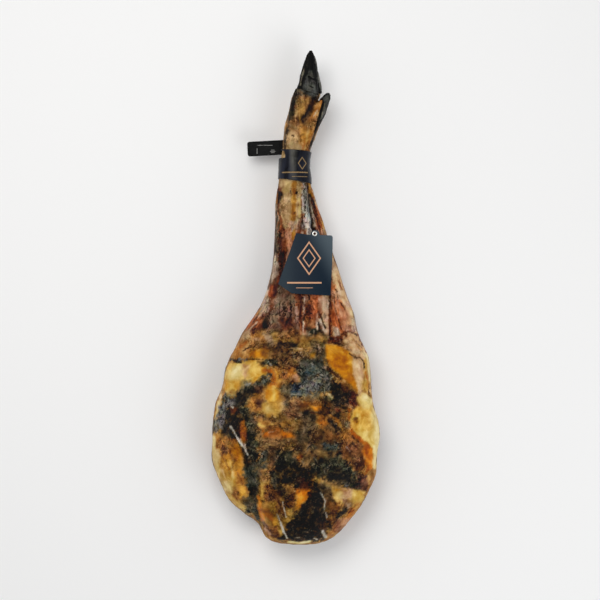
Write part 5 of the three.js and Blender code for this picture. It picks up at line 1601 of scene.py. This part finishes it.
def box_mask(tree, across, along, middle, half):
    """1 inside a rectangle and 0 outside it, all in millimetres."""
    side = maths(tree, "SUBTRACT", away_from(tree, across, middle[0]), half[0])
    end = maths(tree, "SUBTRACT", away_from(tree, along, middle[1]), half[1])
    return between(tree, largest(tree, side, end), PRINT_EDGE, -PRINT_EDGE)


def lozenge_edge(tree, across, along, middle, half, width):
    """The outline of a lozenge whose half width and half height are given."""
    side = maths(tree, "DIVIDE", away_from(tree, across, middle[0]), half[0])
    end = maths(tree, "DIVIDE", away_from(tree, along, middle[1]), half[1])
    distance = maths(tree, "SUBTRACT", maths(tree, "ADD", side, end), 1.0)
    distance = product(tree, distance, min(half) * LOZENGE_FLATTENING)
    past_line = maths(tree, "SUBTRACT", maths(tree, "ABSOLUTE", distance), width / 2)
    return between(tree, past_line, LOZENGE_EDGE, -LOZENGE_EDGE)


def in_millimetres(tree):
    """Object coordinates in millimetres, as three sockets."""
    inputs = {0: object_place(tree), "Scale": 1 / MM}
    scaled = add_node(tree, "ShaderNodeVectorMath", inputs, operation="SCALE")
    return add_node(tree, "ShaderNodeSeparateXYZ", {0: scaled.outputs[0]}).outputs


def printed(tree, across, along, lozenges, bars, worn):
    """Ink in the shape of lozenges (middle, half size, line width) and bars (middle, half size)."""
    marks = [lozenge_edge(tree, across, along, *lozenge) for lozenge in lozenges]
    marks += [box_mask(tree, across, along, *bar) for bar in bars]
    return product(tree, largest(tree, *marks), worn)


# %% Film material
GOLD = screen(146, 120, 82)
# The film's third colour is a painted highlight, laid in a vertical strip down its front
FILM_DARK, FILM_LIGHT, FILM_PAINTED_SHEEN = screen(10, 11, 18), screen(30, 33, 46), screen(98, 96, 86)
PAINTED_SHEEN_X, PAINTED_SHEEN_REACH = -3.5, 9.0
FRONT_FROM, FRONT_TO = 50, 56
BAND_LOZENGES = (((11.5, 228.0), (6.6, 10.0), 1.3),)
BAND_BARS = (((-1.0, 212.6), (22.0, 1.0)), ((7.0, 205.4), (13.0, 0.5)))


def film_material():
    material, tree, shader = new_material("printed film", Specular_IOR_Level=0.14)
    across, along, height = in_millimetres(tree)
    place = object_place(tree)
    worn = noise_of(tree, place, 1.4, 4, 0.7)
    cloudy = noise_of(tree, object_place(tree, (1, 0.3, 1)), 14, 3)
    front = between(tree, height, FRONT_FROM, FRONT_TO)
    # Painted highlight: the base turns paler in a vertical strip down the front of the film
    painted_sheen = between(tree, away_from(tree, across, PAINTED_SHEEN_X), PAINTED_SHEEN_REACH, 0)
    painted_sheen = product(tree, painted_sheen, front, between(tree, along, 204, 246, 0.25, 0.8))
    painted_sheen = product(tree, painted_sheen, between(tree, cloudy, 0.3, 0.6, 0.3, 1))
    base = blended(tree, between(tree, cloudy, 0.35, 0.65), FILM_DARK, FILM_LIGHT)
    base = blended(tree, painted_sheen, base, FILM_PAINTED_SHEEN)
    ink = printed(tree, across, along, BAND_LOZENGES, BAND_BARS, between(tree, worn, 0.36, 0.46))
    tree.links.new(blended(tree, product(tree, ink, front), base, GOLD), shader.inputs["Base Color"])
    tree.links.new(between(tree, cloudy, 0.3, 0.7, 0.24, 0.42), shader.inputs["Roughness"])
    creases = maths(tree, "ADD", cloudy, product(tree, noise_of(tree, place, 5, 3), 0.5))
    add_bump(tree, shader, creases, 0.9, 0.6)
    return material


film = thickened(film_mesh(), FILM_THICKNESS)
new_piece("ankle_film", film, film_material(), "ankle_band")
print("film faces", len(film.polygons))


# %% [markdown]
# ## Plastic seal
# A moulded black plate lies flat beside the ankle on a strap that runs under the film. The CAD solid is kept
# as it is for the strap. Its plate gets a raised rim, a stepped grip at the leg's end and a sunk field,
# moulded as one thin cap with rounded edges. Small plain marks stand where the real one is printed.

# %% Build the seal
SEAL_PLATE_LENGTH = 68.0
SEAL_PLATE_WIDTH = 25.0
SEAL_PLATE_X, SEAL_PLATE_Y, SEAL_PLATE_TOP = -47.0, 257.13, 34.4
SEAL_TURN = math.radians(3)
SEAL_CORNER, SEAL_LEAST_CORNER = 4.0, 0.6
CORNER_STEPS = 8
# Rounded rectangles that the plate's surface runs through: how far inside its edge, and how high
SEAL_LEVELS = (
    (0.35, -2.3), (-0.1, -1.95), (-0.15, -1.0), (-0.15, 0.15), (0.1, 0.5), (1.1, 0.55), (1.5, 0.3),
    (1.9, 0.12), (2.6, 0.08),
)
GRIP_BARS = 5
GRIP_FROM_END, GRIP_SPACING = 6.5, 2.2
GRIP_HALF = (0.5, 8.5, 0.55)
BAR_SHOULDER, BAR_CHAMFER = 0.6, 0.25


def rounded_rectangle(length, width, corner):
    """Points round a rectangle with rounded corners, anticlockwise, about its middle."""
    places = []
    for quarter, (x, y) in enumerate(((1, 1), (-1, 1), (-1, -1), (1, -1))):
        for step in range(CORNER_STEPS + 1):
            angle = (quarter + step / CORNER_STEPS) * math.pi / 2
            places.append((x * (length / 2 - corner) + corner * math.cos(angle),
                           y * (width / 2 - corner) + corner * math.sin(angle)))
    return places


def join_rings(mesh, rings):
    """Closes a stack of rings of points into a solid with a flat top and bottom."""
    for lower, upper in zip(rings, rings[1:]):
        for k in range(len(lower)):
            after = (k + 1) % len(lower)
            mesh.faces.new((lower[k], lower[after], upper[after], upper[k]))
    mesh.faces.new(rings[-1])
    mesh.faces.new(list(reversed(rings[0])))


def add_plate(mesh):
    rings = []
    for inset, height in SEAL_LEVELS:
        corner = max(SEAL_CORNER - inset, SEAL_LEAST_CORNER)
        outline = rounded_rectangle(SEAL_PLATE_LENGTH - 2 * inset, SEAL_PLATE_WIDTH - 2 * inset, corner)
        rings.append([mesh.verts.new((x, y, height)) for x, y in outline])
    join_rings(mesh, rings)


def add_bar(mesh, middle, half):
    """A low bar with chamfered top edges, added to the plate's mesh."""
    rings = []
    for z, shrink in ((0.0, 0.0), (half[2] * BAR_SHOULDER, 0.0), (half[2], BAR_CHAMFER)):
        x, y = half[0] - shrink, half[1] - shrink
        ring = [(x, y), (-x, y), (-x, -y), (x, -y)]
        rings.append([mesh.verts.new((middle[0] + a, middle[1] + b, middle[2] + z)) for a, b in ring])
    join_rings(mesh, rings)


def finished(mesh, name):
    bmesh.ops.recalc_face_normals(mesh, faces=mesh.faces)
    made = bpy.data.meshes.new(name)
    mesh.to_mesh(made)
    mesh.free()
    return made


def seal_mesh():
    mesh = bmesh.new()
    add_plate(mesh)
    for k in range(GRIP_BARS):
        add_bar(mesh, (SEAL_PLATE_LENGTH / 2 - GRIP_FROM_END - GRIP_SPACING * k, 0, 0.0), GRIP_HALF)
    turn = Matrix.Rotation(SEAL_TURN, 4, "Z")
    move = Matrix.Translation((SEAL_PLATE_X * MM, SEAL_PLATE_Y * MM, SEAL_PLATE_TOP * MM))
    bmesh.ops.transform(mesh, matrix=move @ turn @ Matrix.Scale(MM, 4), verts=mesh.verts)
    return finished(mesh, "seal plate")


# %% Seal material
SEAL_BLACK, SEAL_SCUFFED, SEAL_INK = screen(5, 6, 6), screen(30, 32, 32), screen(168, 168, 164)
SEAL_BARS = (
    ((-52.5, 262.0), (13.0, 0.35)), ((-66.0, 252.0), (0.35, 4.5)), ((-39.0, 251.5), (4.5, 0.35)),
    ((-39.0, 249.3), (3.0, 0.35)), ((-39.0, 253.7), (3.0, 0.35)),
)


def seal_material():
    material, tree, shader = new_material("moulded plastic", Specular_IOR_Level=0.1)
    across, along, _ = in_millimetres(tree)
    scuffs = noise_of(tree, object_place(tree, (0.2, 1, 1)), 1.6, 4, 0.7)
    base = blended(tree, between(tree, scuffs, 0.55, 0.75), SEAL_BLACK, SEAL_SCUFFED)
    ink = printed(tree, across, along, (), SEAL_BARS, between(tree, scuffs, 0.3, 0.42))
    tree.links.new(blended(tree, ink, base, SEAL_INK), shader.inputs["Base Color"])
    tree.links.new(between(tree, scuffs, 0.35, 0.65, 0.38, 0.6), shader.inputs["Roughness"])
    add_bump(tree, shader, noise_of(tree, object_place(tree), 0.9, 3, 0.6), 0.2, 0.5)
    return material


SEAL_MATERIAL = seal_material()
seal_plate = bpy.data.objects.new("seal_plate", seal_mesh())
bpy.context.scene.collection.objects.link(seal_plate)
seal_plate.data.materials.append(SEAL_MATERIAL)
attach(seal_plate, "root")
strap_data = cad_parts["seal"].data
strap_data.materials.clear()
strap_data.materials.append(SEAL_MATERIAL)
print("seal plate faces", len(seal_plate.data.polygons))


# %% [markdown]
# ## Card tag
# The tag is stiff laminated card, cut with a tab for its eyelet, that bows over the round of the shank. The
# CAD solid's shape is right, so the piece is that solid with a fine rounded edge and smooth faces. The
# lamination is nearly black blue, with painted light that makes it paler where it turns to the light, a
# painted highlight towards its upper right, and worn at its edges.

# %% Build the tag
TAG_EDGE, TAG_EDGE_STEPS = 0.2, 2
TAG_CUT_ANGLE = math.radians(50)
TAG_SHARP_ANGLE = math.radians(40)
TAG_FLAT_ANGLE = math.radians(0.4)
WELD_DISTANCE = 1e-6
TAG_BOW_MIDDLE, TAG_BOW_RADIUS = 12.5, 230.0
TAG_FALL = 0.128
PRINTED_FACING, CUT_FACING = 0.9, 0.6


def bevelled_copy(node, width, steps):
    """The node's solid with its sharp edges rounded and its facets shaded smooth."""
    source = working_copy(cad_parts[node].data.copy())
    mesh = bmesh.new()
    mesh.from_mesh(source.data)
    bmesh.ops.remove_doubles(mesh, verts=mesh.verts, dist=WELD_DISTANCE)
    bmesh.ops.dissolve_limit(mesh, angle_limit=TAG_FLAT_ANGLE, verts=mesh.verts, edges=mesh.edges)
    mesh.to_mesh(source.data)
    mesh.free()
    bevel = source.modifiers.new("edge", "BEVEL")
    bevel.width = width * MM
    bevel.segments = steps
    bevel.limit_method = "ANGLE"
    bevel.angle_limit = TAG_CUT_ANGLE
    return evaluated_mesh(source)


def shade_as_bowed(mesh):
    """Gives the printed face the directions of one smooth bow in place of those of its strips."""
    directions = [corner.vector.copy() for corner in mesh.corner_normals]
    for face in mesh.polygons:
        if face.normal.z <= PRINTED_FACING:
            continue
        for corner in face.loop_indices:
            x = mesh.vertices[mesh.loops[corner].vertex_index].co.x / MM
            directions[corner] = Vector(((x - TAG_BOW_MIDDLE) / TAG_BOW_RADIUS, TAG_FALL, 1)).normalized()
    mesh.normals_split_custom_set(directions)


# %% Tag material
COPPER = screen(206, 156, 122)
# The highlight colour and the lit-side colour are painted light on the printed face
TAG_DARK, TAG_PAINTED_SHEEN, TAG_PAINTED_LIT_SIDE = screen(14, 30, 44), screen(76, 88, 96), screen(44, 58, 66)
TAG_WORN = screen(90, 104, 112)
CORE_DARK, CORE_LIGHT = screen(42, 54, 62), screen(110, 118, 120)
TAG_LOZENGES = (((23.0, 67.0), (19.0, 27.0), 2.1), ((23.0, 67.0), (10.0, 14.2), 1.7))
TAG_BARS = (((15.0, 25.6), (29.0, 1.3)), ((15.0, 17.0), (14.0, 0.5)))


def tag_material():
    material, tree, shader = new_material("laminated card", Specular_IOR_Level=0.12)
    across, along, _ = in_millimetres(tree)
    fibre = noise_of(tree, object_place(tree), 1.1, 4, 0.6)
    # Painted highlight: paler towards the upper right
    painted_sheen = between(tree, maths(tree, "ADD", product(tree, along, 0.5), across), 62, 112)
    base = blended(tree, painted_sheen, TAG_DARK, TAG_PAINTED_SHEEN)
    # Painted light: paler on the left side, which turns to the light
    base = blended(tree, product(tree, between(tree, across, 6, -22), 0.5), base, TAG_PAINTED_LIT_SIDE)
    base = blended(tree, between(tree, fibre, 0.6, 0.8, 0, 0.25), base, TAG_WORN)
    ink = printed(tree, across, along, TAG_LOZENGES, TAG_BARS, between(tree, fibre, 0.2, 0.34))
    tree.links.new(blended(tree, ink, base, COPPER), shader.inputs["Base Color"])
    tree.links.new(between(tree, fibre, 0.3, 0.7, 0.36, 0.52), shader.inputs["Roughness"])
    add_bump(tree, shader, fibre, 0.1, 0.4)
    return material


def card_edge_material():
    """The cut edge shows the card's pale core between its two printed faces."""
    material, tree, shader = new_material("card core", Roughness=0.85, Specular_IOR_Level=0.2)
    plies = noise_of(tree, object_place(tree, (1, 1, 6)), 1.2, 3)
    tree.links.new(blended(tree, plies, CORE_DARK, CORE_LIGHT), shader.inputs["Base Color"])
    return material


tag = bevelled_copy("tag", TAG_EDGE, TAG_EDGE_STEPS)
new_piece("card_tag", tag, tag_material(), "tag")
tag.materials.append(card_edge_material())
for face in tag.polygons:
    face.material_index = 1 if abs(face.normal.z) < CUT_FACING else 0
tag.set_sharp_from_angle(angle=TAG_SHARP_ANGLE)
shade_as_bowed(tag)
print("tag faces", len(tag.polygons))


# %% [markdown]
# ## Eyelet
# A pressed metal eyelet: a domed flange on the front, a barrel through the card and a rolled rim behind it.
# Its half section is spun round the hole's axis, which leans with the bowed card.

# %% Build the eyelet
EYELET_STEPS = 56
EYELET_FROM_BOW = 19.0
# Radius and height of each point of the half section
EYELET_SECTION = (
    (2.1, -1.0), (3.4, -1.0), (3.75, -0.8), (3.6, -0.55), (2.5, -0.5), (2.45, 0.0), (2.5, 0.5), (4.15, 0.5),
    (4.35, 0.6), (4.3, 0.85), (3.9, 1.1), (3.3, 1.2), (2.7, 1.15), (2.3, 0.95), (2.08, 0.6), (2.0, 0.0),
)
STEEL_DULL, STEEL_BRIGHT = screen(190, 188, 182), screen(238, 236, 230)


def eyelet_mesh():
    low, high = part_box("eyelet")
    middle = (low + high) / 2
    mesh = bmesh.new()
    ring = [mesh.verts.new((radius, 0, height)) for radius, height in EYELET_SECTION]
    edges = [mesh.edges.new((ring[k], ring[(k + 1) % len(ring)])) for k in range(len(ring))]
    bmesh.ops.spin(mesh, geom=ring + edges, cent=(0, 0, 0), axis=(0, 0, 1), angle=2 * math.pi,
                   steps=EYELET_STEPS, use_merge=True)
    fall = Matrix.Rotation(math.atan(-TAG_FALL), 4, "X")
    lean = fall @ Matrix.Rotation(math.atan(EYELET_FROM_BOW / TAG_BOW_RADIUS), 4, "Y")
    place = Matrix.Translation(middle) @ lean @ Matrix.Scale(MM, 4)
    bmesh.ops.transform(mesh, matrix=place, verts=mesh.verts)
    return finished(mesh, "eyelet")


def eyelet_material():
    material, tree, shader = new_material("plated steel", Metallic=1.0)
    worn = noise_of(tree, object_place(tree), 1.0, 4, 0.65)
    tree.links.new(blended(tree, worn, STEEL_DULL, STEEL_BRIGHT), shader.inputs["Base Color"])
    tree.links.new(between(tree, worn, 0.3, 0.7, 0.22, 0.42), shader.inputs["Roughness"])
    return material


eyelet = eyelet_mesh()
new_piece("tag_eyelet", eyelet, eyelet_material(), "eyelet")
print("eyelet faces", len(eyelet.polygons))
